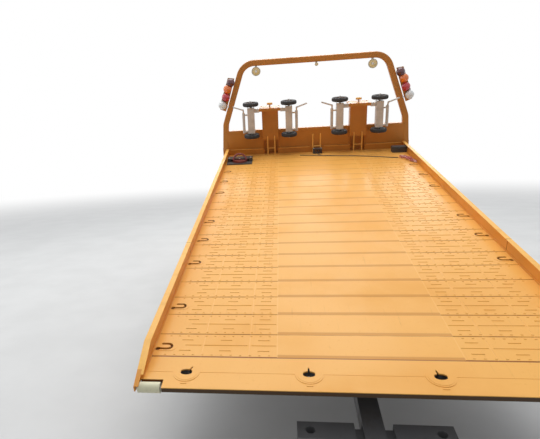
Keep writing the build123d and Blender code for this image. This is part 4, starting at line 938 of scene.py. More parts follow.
def buildHubs():
    for name, body, node, places in wheels["places"]:
        kind = wheels["front" if "front" in name else "rear"]
        place = wheelPlace(body, 0, Matrix.Rotation(math.radians(90 if places[0] > 0 else -90), 4, "Y"))
        nuts = ringPoints(kind["nuts"], kind["nutCircle"], kind["face"])
        boltOn(name + "Nuts", nuts, (0, 0, 1), wheels["nutSize"], "chromeSteel", body, place)
        bm = bmesh.new()
        cap, back = kind["capRadius"], wheels["capBack"]
        profile = [
            (0, back), (cap, back), (cap, wheels["capSide"]), (cap - wheels["capBevel"], wheels["capEdge"]),
            (0, wheels["capTop"]),
        ]
        addLathe(bm, profile, place @ Matrix.Translation((0, 0, kind["capFace"])), around=40)
        meshPiece(name + "HubCap", bm, "wheelPaint", body)
        if kind is wheels["rear"]:
            bolts = ringPoints(wheels["flangeBolts"], wheels["flangeCircle"], kind["capFace"])
            boltOn(name + "FlangeBolts", bolts, (0, 0, 1), wheels["flangeBoltSize"], "castIron", body, place)


buildTyres()
print("tyres built")
buildHubs()
print("wheels finished")

# Dolly wheels: a tyre on a dished rim, both standing about the deck's upright; half of each profile
dollies = {
    "places": (
        ("left_outer", -0.762), ("left_inner", -0.302), ("right_inner", 0.302), ("right_outer", 0.762),
    ),
    "y": 4.250, "heights": (0.257, 0.645),
    "tyre": ((0.058, -0.017), (0.066, -0.0215), (0.086, -0.0215), (0.094, -0.015), (0.0958, -0.006)),
    "rim": (
        (0.0121, -0.020), (0.022, -0.020), (0.024, -0.010), (0.046, -0.008), (0.054, -0.017),
        (0.060, -0.0195),
    ),
}


def buildDollyWheels():
    profiles = [mirrorProfile(dollies[part]) + [dollies[part][0]] for part in ("tyre", "rim")]
    for label, x in dollies["places"]:
        tyre, rim = bmesh.new(), bmesh.new()
        for z in dollies["heights"]:
            place = Matrix.Translation((x, dollies["y"], z))
            addLathe(tyre, profiles[0], place, around=56)
            addLathe(rim, profiles[1], place, around=40)
        body = "dolly_wheels_" + label
        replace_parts(meshPiece(body + "_tyres", tyre, "wheelRubber", body, deckPlace), body)
        meshPiece(body + "_rims", rim, "castIron", body, deckPlace)


buildDollyWheels()

# Winch rope: wound on the drum, its taut run from the drum to the deck, and its lie across the head
rope = {
    "radius": 0.0045, "drumRadius": 0.0645, "drumEnd": (-0.152, 4.506, 0.115), "drumLength": 0.304,
    "turns": 32.0, "clearance": 0.0055,
    "run": ((0.041, 4.470, 0.058), (0.041, 4.262, 0.030), (0.041, 4.200, 0.010)),
    "runEnd": ((0.085, 4.118), (0.200, 4.084)),
    "lie": ((-0.175, 4.174), (0.200, 4.084), (0.575, 3.995), (0.922, 3.867)),
}


def windRope():
    values = {
        "Turns": rope["turns"], "Winding radius": rope["drumRadius"], "Length": rope["drumLength"],
        "Rope radius": rope["radius"],
    }
    drum = deckPlace @ Matrix.Translation(rope["drumEnd"]) @ towardRight
    growPiece("ropeOnDrum", buildRopeWinding(), values, "steelRope", "winch_drum", drum)
    bm = bmesh.new()
    runEnd, lie = ([(x, y, rope["clearance"]) for x, y in rope[part]] for part in ("runEnd", "lie"))
    addPipe(bm, smoothRoute([*rope["run"], *runEnd]), rope["radius"])
    addPipe(bm, smoothRoute(lie, steps=8), rope["radius"])
    meshPiece("winchRope", bm, "steelRope", *onDeck)


windRope()

# Lashing chain from the hand box to the rail: links repeated along its lie
chain = {
    "strands": (
        ("paleWebbing", (
            (0.972, 3.905, 0.016), (0.992, 3.850, 0.014), (1.010, 3.790, 0.014), (1.044, 3.700, 0.014),
            (1.056, 3.620, 0.016),
        )),
        ("redWebbing", (
            (0.950, 3.890, 0.016), (0.962, 3.830, 0.014), (1.030, 3.760, 0.030), (1.020, 3.690, 0.014),
            (1.060, 3.660, 0.016),
        )),
        ("redWebbing", (
            (1.000, 3.880, 0.020), (1.030, 3.820, 0.016), (0.990, 3.770, 0.016), (1.010, 3.720, 0.032),
            (1.050, 3.700, 0.018),
        )),
    ),
    "linkStep": 0.027, "linkLength": 0.038, "linkWidth": 0.024, "wire": 0.0042,
}


def layChain():
    wire = chain["wire"]
    values = {
        "Step": chain["linkStep"], "Link half length": chain["linkLength"] / 2 - wire,
        "Link half width": chain["linkWidth"] / 2 - wire, "Wire": wire,
    }
    tree = buildChainLinks()
    for order, (paint, lie) in enumerate(chain["strands"]):
        growPiece(f"lashingChain{order}", tree, values, paint, *onDeck, smoothRoute(lie), joined=True)


layChain()

# Fairlead rollers, hand box lid and latch, bolts of the fairlead and the pulley block
deckFittings = {
    "rollerRadius": 0.006, "lying": ((0.006, 4.238, 0.0205), (0.006, 4.238, 0.0435)), "lyingLength": 0.070,
    "standing": ((0.012, 4.278, 0.015), (0.070, 4.278, 0.015)), "standingLength": 0.034,
    "handBox": (
        ((0.905, 1.078), (4.111, 4.195), (0.050, 0.062), 0.002),
        ((0.975, 1.008), (4.106, 4.114), (0.030, 0.058), 0.002),
    ),
    "bolts": (
        (-0.005, 4.2575, 0.064), (0.087, 4.2575, 0.064), (-1.037, 3.990, 0.048), (-1.037, 4.055, 0.048),
        (-0.775, 3.990, 0.048), (-0.775, 4.055, 0.048), (-0.906, 3.965, 0.0465),
    ),
    "boltSize": (0.010, 0.006),
}


def buildDeckFittings():
    fittings = deckFittings
    rollers = bmesh.new()
    for spot in fittings["lying"]:
        place = Matrix.Translation(spot) @ towardRight
        addRod(rollers, place, fittings["rollerRadius"], 0, fittings["lyingLength"])
    for spot in fittings["standing"]:
        addRod(rollers, Matrix.Translation(spot), fittings["rollerRadius"], 0, fittings["standingLength"])
    meshPiece("fairleadRollers", rollers, "castIron", *onDeck)
    boxPiece("handBoxLid", "darkPlastic", fittings["handBox"], *onDeck)
    boltOn("deckFittingBolts", fittings["bolts"], (0, 0, 1), fittings["boltSize"], "chromeSteel", *onDeck)


buildDeckFittings()

# Headboard, posts and hoop: bolts, weld beads and knobs
headDetails = {
    "postX": 0.532, "capBolts": (0.105, 0.080), "capBoltSize": (0.009, 0.007), "capTop": 0.589,
    "capMiddleY": 4.332, "plateBolts": ((0.975, 0.945), (1.050, 0.615), (1.120, 0.690)),
    "plateBoltSize": (0.007, 0.005), "weldX": 0.100, "weldBehind": 0.003, "weldZ": (0.08, 0.30),
    "capWeldBehind": 0.049, "capWeldZ": 0.552, "weldSteps": 11, "weldRadius": 0.004, "knobZ": 0.629,
    "halfKnob": ((0, -0.034), (0.010, -0.034), (0.0135, -0.028)),
}


def finishHead():
    head, front = headDetails, deck["length"]
    posts = [sign * head["postX"] for sign in (-1, 1)]
    offX, offY = head["capBolts"]
    points = [
        (post + dx, head["capMiddleY"] + dy, head["capTop"])
        for post in posts for dx in (-offX, offX) for dy in (-offY, offY)
    ]
    boltOn("postCapBolts", points, (0, 0, 1), head["capBoltSize"], "chromeSteel", *onDeck)
    plateY = front - hoopLamps["plateThickness"]
    points = [(sign * x, plateY, z) for sign in (-1, 1) for x, z in head["plateBolts"]]
    boltOn("lampPlateBolts", points, (0, -1, 0), head["plateBoltSize"], "chromeSteel", *onDeck)
    beads, knobs = bmesh.new(), bmesh.new()
    steps, half = head["weldSteps"], head["weldX"]
    low, high = head["weldZ"]
    heights = [low + (high - low) * step / steps for step in range(steps + 1)]
    shares = [2 * step / (steps - 1) - 1 for step in range(steps)]
    for post in posts:
        for x in span(post, half):
            route = [(x, front - head["weldBehind"], z) for z in heights]
            addPipe(beads, route, head["weldRadius"], sides=6)
        route = [(post + half * share, front - head["capWeldBehind"], head["capWeldZ"]) for share in shares]
        addPipe(beads, route, head["weldRadius"], sides=6)
        knobPlace = Matrix.Translation((post, head["capMiddleY"], head["knobZ"])) @ towardRight
        addLathe(knobs, mirrorProfile(head["halfKnob"]), knobPlace, around=24)
    # painted shade on the welds, in the darkened head orange, and painted highlight on the knobs, in pale orange
    meshPiece("headWelds", beads, "shadedHeadOrange", *onDeck)
    meshPiece("postKnobs", knobs, "highlightOrange", *onDeck)


finishHead()
print("head of the deck finished")

# Holes in the deck: black linings of the keyholes (x, degrees the slot is turned), painted shade in the holes,
# pressed lips round them, wider than deep and with a narrower slot than the plate's own, and dark boxes under the
# lashing slots, painted shade in them, whose places are counted in seams from the last one
deckHoles = {
    "keyholes": ((-0.868, -34), (-0.28933, 0), (0.28933, 14), (0.868, 34)), "keyholeY": 0.111,
    "radius": 0.0278, "slotHalf": 0.0048, "reach": 0.0438, "top": -0.001, "bottom": -0.030, "shell": 0.0006,
    "steps": 36,
    "lashing": (0.41, 2.44, 5.43, 7.47, 9.46, 13.46, 15.44, 17.40), "slotShadeX": (0.955, 1.076),
    "slotShadeY": (-0.034, 0.040), "slotShadeZ": (-0.0105, -0.0065),
}
keyholeLips = {
    "halfWide": 0.0305, "halfDeep": 0.0205, "slotHalf": 0.0033, "reach": 0.0470, "outer": 0.0560,
    "foot": 0.0002, "top": 0.0030, "bottom": -0.0060, "steps": 40,
}


def keyholeOutline(shrink):
    radius, half = deckHoles["radius"] - shrink, deckHoles["slotHalf"] - shrink
    gap = math.asin(half / radius)
    steps = deckHoles["steps"]
    angles = [math.pi / 2 + gap + (2 * math.pi - 2 * gap) * step / steps for step in range(steps + 1)]
    outline = [(radius * math.cos(a), radius * math.sin(a)) for a in angles]
    return outline + [(half, deckHoles["reach"] - shrink), (-half, deckHoles["reach"] - shrink)]


def lineHoles():
    holes, shell = deckHoles, deckHoles["shell"]
    levels = ((0, holes["top"]), (0, holes["bottom"]), (shell, holes["bottom"]), (shell, holes["top"]))
    bm = bmesh.new()
    for x, turn in holes["keyholes"]:
        place = Matrix.Translation((x, holes["keyholeY"], 0)) @ Matrix.Rotation(math.radians(turn), 4, "Z")
        rings = [[place @ Vector((*at, z)) for at in keyholeOutline(shrink)] for shrink, z in levels]
        addTube(bm, rings, closed=True)
    # painted shade: black tubes inside the keyholes darken the holes
    meshPiece("keyholeShadeLinings", bm, "chassisBlack", *onDeck)
    # painted shade: dark boxes under the lashing slots
    slotShades = []
    for place in holes["lashing"]:
        middle = deck["lastSeam"] + place * deck["seamPitch"]
        y = [middle + off for off in holes["slotShadeY"]]
        slotShades += bothSides((holes["slotShadeX"], y, holes["slotShadeZ"], 0))
    boxPiece("slotShadePans", "shadeAndJointBrown", slotShades, *onDeck)


def pressKeyholes():
    lip = keyholeLips
    bm = bmesh.new()
    gap = math.asin(lip["slotHalf"] / lip["halfDeep"])
    for x, turn in deckHoles["keyholes"]:
        place = Matrix.Translation((x, deckHoles["keyholeY"], 0))
        slot = Matrix.Rotation(math.radians(turn), 4, "Z")
        start = math.radians(90 + turn) + gap
        angles = [start + (2 * math.pi - 2 * gap) * step / lip["steps"] for step in range(lip["steps"] + 1)]
        inner = [Vector((lip["halfWide"] * math.cos(a), lip["halfDeep"] * math.sin(a), 0)) for a in angles]
        outer = [Vector((lip["outer"] * math.cos(a), lip["outer"] * math.sin(a), 0)) for a in angles]
        for side in (lip["slotHalf"], -lip["slotHalf"]):
            inner.append(slot @ Vector((side, lip["reach"], 0)))
            outer.append(slot @ Vector((side, lip["outer"], 0)))
        levels = ((outer, lip["foot"]), (outer, lip["top"]), (inner, lip["top"]), (inner, lip["bottom"]))
        rings = [[place @ (at + Vector((0, 0, z))) for at in outline] for outline, z in levels]
        addTube(bm, rings, closed=True)
    meshPiece("keyholeLips", bm, "deckPaint", *onDeck)


# Pale kick strips along the head's foot, painted highlight where the kick's top edge catches the light, and the
# guard arched over the pulley block
headEdges = {
    "strips": ((-1.05, -0.64), (-0.43, -0.05), (0.13, 0.44), (0.64, 1.05)), "stripBehind": (0.0285, 0.0255),
    "stripZ": (0.066, 0.0725), "stripBevel": 0.001,
    "guardCentre": (-0.906, 3.945, 0.036), "guardReach": (0.078, 0.030, 0.066), "guardWire": 0.011,
    "guardSteps": 14,
}


def edgeDeck():
    edge = headEdges
    y = [deck["length"] - behind for behind in edge["stripBehind"]]
    strips = [(x, y, edge["stripZ"], edge["stripBevel"]) for x in edge["strips"]]
    # painted highlight: pale orange strips at the kick's lit top edge
    boxPiece("kickEdgeHighlights", "highlightOrange", strips, *onDeck)
    guard, arch = bmesh.new(), []
    across, along, up = edge["guardReach"]
    for step in range(edge["guardSteps"] + 1):
        angle = math.pi * step / edge["guardSteps"]
        reach = Vector((across * math.cos(angle), along * math.sin(angle), up * math.sin(angle)))
        arch.append(Vector(edge["guardCentre"]) + reach)
    addPipe(guard, arch, edge["guardWire"], sides=10)
    meshPiece("pulleyGuard", guard, "maroonPaint", *onDeck)


lineHoles()
pressKeyholes()
edgeDeck()

# Side rails: the lip along the top, lower towards the tail and pale orange as a painted highlight, its foot strip
# and the joint in each (side, y)
railTrim = {
    "lip": (1.066, 1.1003), "web": 1.0775, "foot": (1.067, 1.079), "footZ": (0.0002, 0.0030),
    "footBevel": 0.001, "start": 0.062, "kink": 0.240, "end": 4.318, "top": 0.0845, "thickness": 0.0045,
    "wedgeStart": 0.003, "wedgeZ": (-0.002, 0.0015), "wedgeUnder": 0.0008, "cadKink": 0.360,
    "splices": ((-1, 1.431), (1, 1.396)), "spliceHalf": 0.0016, "spliceProud": 0.0004, "spliceOut": 0.0003,
    "spliceWeb": (-0.0002, 0.0010), "spliceUnder": 0.0052, "webZ": (0.003, 0.005),
}


def addSlab(bm, outline, x):
    # a side view of (y, z) points, drawn out from one x to the other
    addTube(bm, [[(end, y, z) for y, z in outline] for end in x])


def trimRails():
    rail = railTrim
    top, thickness, kink, start, end = (rail[key] for key in ("top", "thickness", "kink", "start", "end"))
    low, under, cadKink = top * start / kink, top - rail["wedgeUnder"], rail["cadKink"]
    lip = [
        (start, low - thickness), (kink, top - thickness), (end, top - thickness), (end, top), (kink, top),
        (start, low),
    ]
    wedge = [
        (rail["wedgeStart"], rail["wedgeZ"][0]), (cadKink, under - thickness), (cadKink, under),
        (kink, under), (rail["wedgeStart"], rail["wedgeZ"][1]),
    ]
    inner, outer = rail["lip"]
    proud = rail["spliceProud"]
    spliceX = (inner - proud, outer + rail["spliceOut"])
    webX = [rail["web"] + off for off in rail["spliceWeb"]]
    lips, wedges, splices = bmesh.new(), bmesh.new(), bmesh.new()
    for sign, splice in rail["splices"]:
        addSlab(lips, lip, (sign * inner, sign * outer))
        addSlab(wedges, wedge, (sign * rail["web"], sign * outer))
        addBox(wedges, [sign * x for x in rail["foot"]], (start, end), rail["footZ"], rail["footBevel"])
        line = span(splice, rail["spliceHalf"])
        addBox(splices, [sign * x for x in spliceX], line, (top - rail["spliceUnder"], top + proud))
        addBox(splices, [sign * x for x in webX], line, (rail["webZ"][0], top - rail["webZ"][1]))
    # painted highlight: the lips in pale orange, the lit top of the rails
    meshPiece("railLips", lips, "highlightOrange", *onDeck)
    meshPiece("railWedges", wedges, "orangePaint", *onDeck)
    meshPiece("railSplices", splices, "shadeAndJointBrown", *onDeck)


trimRails()

# Leaf springs: thin leaves laid along the bow, with clips, axle bolts and a top plate
springs = {
    # name, x range, middle y, lowest z at the axle, thickness there, half length, rise of the ends
    "places": (
        ("rear", (0.413, 0.487), -0.7432, 0.430, 0.062, 0.640, 0.112),
        ("front", (0.348, 0.422), 2.6168, 0.366, 0.056, 0.540, 0.122),
    ),
    "leaf": 0.009, "tip": 0.018, "steps": 14, "shorten": 0.095, "gap": 0.0012, "endGap": 0.004,
    "shortest": 0.1, "flatten": 0.02,
    "clipAt": 0.33, "clipWider": 0.004, "clipHalf": 0.014, "clipZ": (-0.022, 0.036),
    "boltAt": 0.045, "boltWider": 0.006, "boltRadius": 0.007, "boltZ": (-0.05, 0.028),
    "plateWider": 0.012, "plateHalf": 0.06, "plateZ": (0.002, 0.014), "bevel": 0.002,
}


def addLeaf(bm, x, middle, low, half, rise, reach):
    thickness = springs["leaf"] - springs["gap"]
    sections = []
    for step in range(springs["steps"] + 1):
        along = reach * (2 * step / springs["steps"] - 1)
        z = low + rise * (along / half) ** 2
        y = middle + along
        sections.append([(x[0], y, z), (x[1], y, z), (x[1], y, z + thickness), (x[0], y, z + thickness)])
    addTube(bm, sections)


def buildSprings():
    spring = springs
    for name, x, middle, low, thick, half, rise in spring["places"]:
        leaves, clips = bmesh.new(), bmesh.new()
        top = low + thick
        for sign in (-1, 1):
            near, far = sorted(sign * edge for edge in x)
            for leaf in range(int(thick / spring["leaf"])):
                base = top - (leaf + 1) * spring["leaf"]
                reach = half - spring["endGap"] - leaf * spring["shorten"]
                if reach > spring["shortest"]:
                    flatter = rise * (1 - leaf * spring["flatten"]) - (thick - spring["tip"])
                    addLeaf(leaves, (near, far), middle, base, half, flatter, reach)
            for along in (-spring["clipAt"], spring["clipAt"]):
                z = low + thick / 2 + (rise - thick / 2) * (along / half) ** 2
                wide = (near - spring["clipWider"], far + spring["clipWider"])
                tall = [z + off for off in spring["clipZ"]]
                addBox(clips, wide, span(middle + along, spring["clipHalf"]), tall, spring["bevel"])
            for y in span(middle, spring["boltAt"]):
                for edge in (near - spring["boltWider"], far + spring["boltWider"]):
                    ends = (low + spring["boltZ"][0], top + spring["boltZ"][1])
                    addPipe(clips, [(edge, y, z) for z in ends], spring["boltRadius"])
            wide = (near - spring["plateWider"], far + spring["plateWider"])
            tall = [top + off for off in spring["plateZ"]]
            addBox(clips, wide, span(middle, spring["plateHalf"]), tall, spring["bevel"])
        meshPiece(name + "SpringLeaves", leaves, "chassisBlack")
        meshPiece(name + "SpringClips", clips, "castIron")


buildSprings()

# Chassis fittings: tank straps and cap, battery lid, tool box door, pipes along the rails (height above
# their route, radius) and the propeller shaft's joints; boxes as (x, y, z, bevel)
chassisFittings = {
    "strapsAt": (0.9368, 1.4168), "strapHalf": 0.022, "strapOut": 0.0035,
    "strap": (
        (0.442, 0.452), (0.442, 0.668), (0.492, 0.7215), (0.848, 0.7215), (0.9015, 0.668), (0.9015, 0.452),
        (0.848, 0.3985), (0.492, 0.3985),
    ),
    "cap": ((0, 0), (0.046, 0), (0.046, 0.012), (0.040, 0.014), (0.040, 0.030), (0.034, 0.036), (0, 0.036)),
    "capAt": (0.80, 1.17, 0.716), "capGrip": ((0.792, 0.808), (1.138, 1.202), (0.748, 0.757), 0.002),
    "battery": (
        ((-0.884, -0.426), (1.1528, 1.5608), (0.660, 0.706), 0.004),
        *(((-0.886, -0.880), span(y, 0.012), (0.44, 0.66), 0.002) for y in (1.22, 1.36, 1.50)),
        *((span(x, 0.03), (1.26, 1.46), (0.704, 0.712), 0.003) for x in (-0.76, -0.55)),
    ),
    "toolBox": (
        ((-0.9645, -0.958), (0.185, 0.928), (0.425, 0.715), 0.003),
        ((-0.970, -0.963), (0.50, 0.62), (0.66, 0.695), 0.003),
        *(((-0.969, -0.962), span(y, 0.03), (0.412, 0.440), 0.002) for y in (0.26, 0.85)),
    ),
    "latches": [((-0.974, -0.969), span(y, 0.012), (0.668, 0.688), 0.001) for y in (0.53, 0.59)],
    "pipeX": 0.302, "pipes": ((0.0, 0.006), (0.016, 0.006), (0.034, 0.009)),
    "pipeRoute": ((-1.80, 0.60), (-0.2, 0.60), (1.4, 0.62), (2.0, 0.62)),
    "pipeClips": (-1.6, -1.1, -0.5, 0.1, 0.7, 1.3, 1.8), "clipX": (-0.3135, -0.296), "clipHalf": 0.008,
    "clipZ": (0.590, 0.668), "clipBevel": 0.001,
    "shaftJoints": ((0, 0.2882, 0.465), (0, 1.40, 0.52)), "shaftRise": 0.10, "jointRadius": 0.05,
    "jointHalf": 0.055,
}


def addStrap(bm, outline, y, out):
    # a band round a closed outline of (x, z) points, its thickness outwards
    count = len(outline)
    middle = Vector((sum(x for x, z in outline) / count, sum(z for x, z in outline) / count))
    outer = [Vector(at) + (Vector(at) - middle).normalized() * out for at in outline]
    rings = ((outline, y[0]), (outline, y[1]), (outer, y[1]), (outer, y[0]))
    addTube(bm, [[(x, end, z) for x, z in ring] for ring, end in rings], closed=True)


def buildChassisFittings():
    fittings = chassisFittings
    steel, cap, pipes, shaft = bmesh.new(), bmesh.new(), bmesh.new(), bmesh.new()
    for y in fittings["strapsAt"]:
        addStrap(steel, fittings["strap"], span(y, fittings["strapHalf"]), fittings["strapOut"])
    meshPiece("tankStraps", steel, "chromeSteel")
    addLathe(cap, fittings["cap"], Matrix.Translation(fittings["capAt"]))
    addBox(cap, *fittings["capGrip"])
    meshPiece("tankCap", cap, "darkPlastic")
    boxPiece("batteryLid", "darkPlastic", fittings["battery"])
    boxPiece("toolBoxDoor", "chassisBlack", fittings["toolBox"])
    boxPiece("toolBoxLatches", "chromeSteel", fittings["latches"])
    for offset, radius in fittings["pipes"]:
        route = [(-fittings["pipeX"], y, z + offset) for y, z in fittings["pipeRoute"]]
        addPipe(pipes, route, radius)
        addPipe(pipes, [(-x, y, z) for x, y, z in route[1:]], radius)
    for y in fittings["pipeClips"]:
        clipY = span(y, fittings["clipHalf"])
        addBox(pipes, fittings["clipX"], clipY, fittings["clipZ"], fittings["clipBevel"])
    meshPiece("railPipes", pipes, "wheelRubber")
    for spot in fittings["shaftJoints"]:
        place = aimed(spot, (0, 1, fittings["shaftRise"]))
        addRod(shaft, place, fittings["jointRadius"], -fittings["jointHalf"], fittings["jointHalf"])
    meshPiece("shaftJoints", shaft, "castIron")


buildChassisFittings()
print("chassis fittings built")

# Tail lamps, reflectors and plate; boxes as (x, y, z, bevel)
tailEnd = {
    "face": -2.1892, "lamps": ((0.64, "redLens"), (0.74, "amberLens"), (0.84, "clearLens")), "z": 0.505,
    "lensHalf": 0.036, "lensDepth": (-0.007, 0.002), "lensBevel": 0.003,
    "bezel": (
        # off the lens in x and z, half size in x and z
        (-0.038, 0, 0.002, 0.040), (0.038, 0, 0.002, 0.040), (0, 0.038, 0.040, 0.002),
        (0, -0.038, 0.040, 0.002),
    ),
    "bezelDepth": (-0.005, 0.004), "reflectorAt": (0.50, -2.1612),
    "reflector": {"radius": 0.032, "low": 0, "high": 0.006, "crown": 0.002, "around": 28},
    "plate": ((-0.22, 0.22), (-2.1662, -2.1622), (0.438, 0.572), 0.001),
}


def buildTailLenses():
    z = tailEnd["z"]
    lensY = [tailEnd["face"] + off for off in tailEnd["lensDepth"]]
    bezelY = [tailEnd["face"] + off for off in tailEnd["bezelDepth"]]
    for x, paint in tailEnd["lamps"]:
        lens = (span(x, tailEnd["lensHalf"]), lensY, span(z, tailEnd["lensHalf"]), tailEnd["lensBevel"])
        boxPiece("tail" + paint[0].upper() + paint[1:], paint, bothSides(lens))
    bezels, reflectors = bmesh.new(), bmesh.new()
    for sign in (-1, 1):
        for x, paint in tailEnd["lamps"]:
            for dx, dz, half, tall in tailEnd["bezel"]:
                addBox(bezels, span(sign * x + dx, half), bezelY, span(z + dz, tall))
        x, y = tailEnd["reflectorAt"]
        addRod(reflectors, aimed((sign * x, y, z), (0, -1, 0)), **tailEnd["reflector"])
    meshPiece("tailBezels", bezels, "darkPlastic")
    meshPiece("tailReflectors", reflectors, "redLens")
    boxPiece("rearPlate", "lampSilver", [tailEnd["plate"]])


# Headlamps (x, radius), indicators, grille and plate; the headlamp's profiles as (share of radius, height)
frontEnd = {
    "lampFace": 3.6308, "lampZ": 0.745, "lamps": ((0.627, 0.052), (0.732, 0.046)),
    "bowl": ((0, -0.002), (1, -0.002), (1, 0.004), (0.82, 0.001), (0, 0.0005)),
    "glass": ((0, 0.001), (0.80, 0.001), (0.62, 0.006), (0, 0.009)),
    "ringWide": 0.006, "ringZ": (-0.002, 0.005),
    "indicator": ((0.563, 0.787), (3.6188, 3.6278), (0.853, 0.887), 0.003),
    "backing": (
        ((-0.525, 0.525), (3.600, 3.6105), (0.690, 0.886), 0.002),
        *((span(x, 0.006), (3.606, 3.622), (0.700, 0.874), 0.001) for x in (-0.35, -0.175, 0.0, 0.175, 0.35)),
        ((-0.418, 0.418), (3.560, 3.612), (0.452, 0.524)),
    ),
    "trim": [((-0.53, 0.53), (3.604, 3.621), span(z, 0.005), 0.002) for z in (0.891, 0.685)],
    "plate": ((-0.22, 0.22), (3.6050, 3.6108), (0.905, 1.025), 0.001),
}


def buildFrontDetails():
    bowls, glass, rings = bmesh.new(), bmesh.new(), bmesh.new()
    low, high = frontEnd["ringZ"]
    for sign in (-1, 1):
        for x, radius in frontEnd["lamps"]:
            spot = aimed((sign * x, frontEnd["lampFace"], frontEnd["lampZ"]), (0, 1, 0))
            wide = radius + frontEnd["ringWide"]
            ring = [(radius, low), (wide, low), (wide, high), (radius, high), (radius, low)]
            addLathe(bowls, [(share * radius, z) for share, z in frontEnd["bowl"]], spot, around=36)
            addLathe(glass, [(share * radius, z) for share, z in frontEnd["glass"]], spot, around=36)
            addLathe(rings, ring, spot, around=36)
    meshPiece("headlampBowls", bowls, "chromeSteel")
    meshPiece("headlampGlass", glass, "clearLens")
    meshPiece("headlampRings", rings, "darkPlastic")
    boxPiece("frontIndicators", "amberLens", bothSides(frontEnd["indicator"]))
    boxPiece("grilleBacking", "darkPlastic", frontEnd["backing"])
    boxPiece("grilleTrim", "chromeSteel", frontEnd["trim"])
    boxPiece("frontPlate", "lampSilver", [frontEnd["plate"]])


buildTailLenses()
buildFrontDetails()

# Windscreen and back window seals, wipers and mirror glass: the windscreen's plane as (y, z) at its foot and
# head, outlines as (x, z), wipers from their pivot's x to the blade's end
screen = {
    "foot": (3.5068, 1.32), "head": (3.1868, 1.98), "sealOff": 0.001, "sealRadius": 0.011,
    "outline": ((-0.79, 1.37), (0.79, 1.37), (0.74, 1.93), (-0.74, 1.93)), "shares": (0.04, 0.35, 0.65, 0.96),
    "back": ((-0.56, 1.38), (0.56, 1.38), (0.54, 1.86), (-0.54, 1.86)), "backShares": (0.04, 0.5, 0.96),
    "backY": 2.1058, "backRadius": 0.009,
    "wipers": ((-0.60, -0.02), (0.10, 0.68)), "pivot": (1.345, 0.018), "tip": (1.50, 0.020),
    "armBow": (0, 0.006, 0), "armRadius": 0.006, "bladeStart": (0.02, 1.475), "bladeEnd": 1.53,
    "bladeOff": 0.010, "bladeRadius": 0.005, "hubAim": (0, 0.9, 0.44),
    "hub": {"radius": 0.014, "low": -0.02, "high": 0.006, "crown": 0.002},
    "mirror": ((1.022, 1.128), (3.4185, 3.4225), (1.43, 1.67), 0.002),
}


def onScreen(x, z, off=0.0):
    # point of the windscreen's plane, moved outwards
    (footY, footZ), (headY, headZ) = screen["foot"], screen["head"]
    share = (z - footZ) / (headZ - footZ)
    out = Vector((0, headZ - footZ, footY - headY)).normalized()
    return Vector((x, footY + share * (headY - footY), z)) + out * off


def buildScreen():
    seal, wipers = bmesh.new(), bmesh.new()
    route = [onScreen(x, z, screen["sealOff"]) for x, z in alongSides(screen["outline"], screen["shares"])]
    addPipe(seal, route, screen["sealRadius"], closed=True)
    route = [(x, screen["backY"], z) for x, z in alongSides(screen["back"], screen["backShares"])]
    addPipe(seal, route, screen["backRadius"], closed=True)
    meshPiece("screenSeals", seal, "wheelRubber")
    bow = Vector(screen["armBow"])
    for start, end in screen["wipers"]:
        pivot = onScreen(start, *screen["pivot"])
        tip = onScreen((start + end) / 2, *screen["tip"])
        addPipe(wipers, [pivot, (pivot + tip) / 2 + bow, tip], screen["armRadius"])
        bladeStart = onScreen(start + screen["bladeStart"][0], screen["bladeStart"][1], screen["bladeOff"])
        bladeEnd = onScreen(end, screen["bladeEnd"], screen["bladeOff"])
        addPipe(wipers, [bladeStart, tip - bow, bladeEnd], screen["bladeRadius"])
        addRod(wipers, aimed(pivot, screen["hubAim"]), **screen["hub"])
    meshPiece("wipers", wipers, "darkPlastic")
    boxPiece("mirrorGlass", "chromeSteel", bothSides(screen["mirror"]))


buildScreen()
print("cab details built")

# Cab: its side leans in above the waist; window seals as (y, z) outlines, locks, handles, gutters, side
# lamps, vents, sills, ribs, dials and gear lever; boxes as (x, y, z, bevel), those of the sides mirrored
cab = {
    "sideX": 0.95, "waist": 1.30, "lean": 0.1,
    "window": ((3.3168, 1.320), (3.1068, 1.860), (2.6568, 1.860), (2.6568, 1.320)), "sealIn": 0.001,
    "sealRadius": 0.009, "sealShares": (0.04, 0.35, 0.65, 0.96), "lockAt": (0.949, 2.69, 1.185),
    "lock": {"radius": 0.011, "low": 0, "high": 0.004, "crown": 0.001, "around": 24},
    "handle": (
        ((0.948, 0.953), (2.705, 2.850), (1.150, 1.215), 0.002),
        ((0.952, 0.968), (2.715, 2.840), (1.188, 1.206), 0.004),
    ),
    "gutterX": 0.8915, "gutterY": (2.135, 2.6, 3.180), "gutterZ": 1.905, "gutterRadius": 0.007,
    "lamp": ((0.948, 0.962), (3.398, 3.412), (1.09, 1.15), 0.003),
    "vents": 6, "ventY": (2.20, 2.36), "ventFoot": 1.42, "ventStep": 0.035, "ventTall": 0.020,
    "ventX": (-0.007, 0.003), "ventBevel": 0.002,
    "sill": ((0.947, 0.956), (2.108, 2.560), (0.832, 0.858), 0.003),
    "backRibs": [(span(x, 0.018), (2.0998, 2.1068), (0.86, 1.30), 0.003) for x in (-0.72, -0.36, 0.36, 0.72)],
    "roofRibs": [(span(x, 0.02), (2.30, 3.00), (2.018, 2.0245), 0.003) for x in (-0.45, -0.15, 0.15, 0.45)],
    "dialsAt": ((-0.68, 3.196, 1.30), (-0.50, 3.196, 1.30)), "dialAim": (0, -0.75, 0.66),
    "dial": {"radius": 0.055, "low": 0, "high": 0.006, "crown": 0.001, "around": 32},
    "lever": ((0.02, 2.92, 1.02), (0.03, 2.90, 1.16), (0.02, 2.86, 1.26)), "leverRadius": 0.007,
    "knob": ((0, -0.02), (0.018, -0.014), (0.024, 0.0), (0.018, 0.014), (0, 0.02)),
    "knobAt": (0.02, 2.86, 1.275),
}


def cabSideX(z):
    return cab["sideX"] - max(0.0, z - cab["waist"]) * cab["lean"]


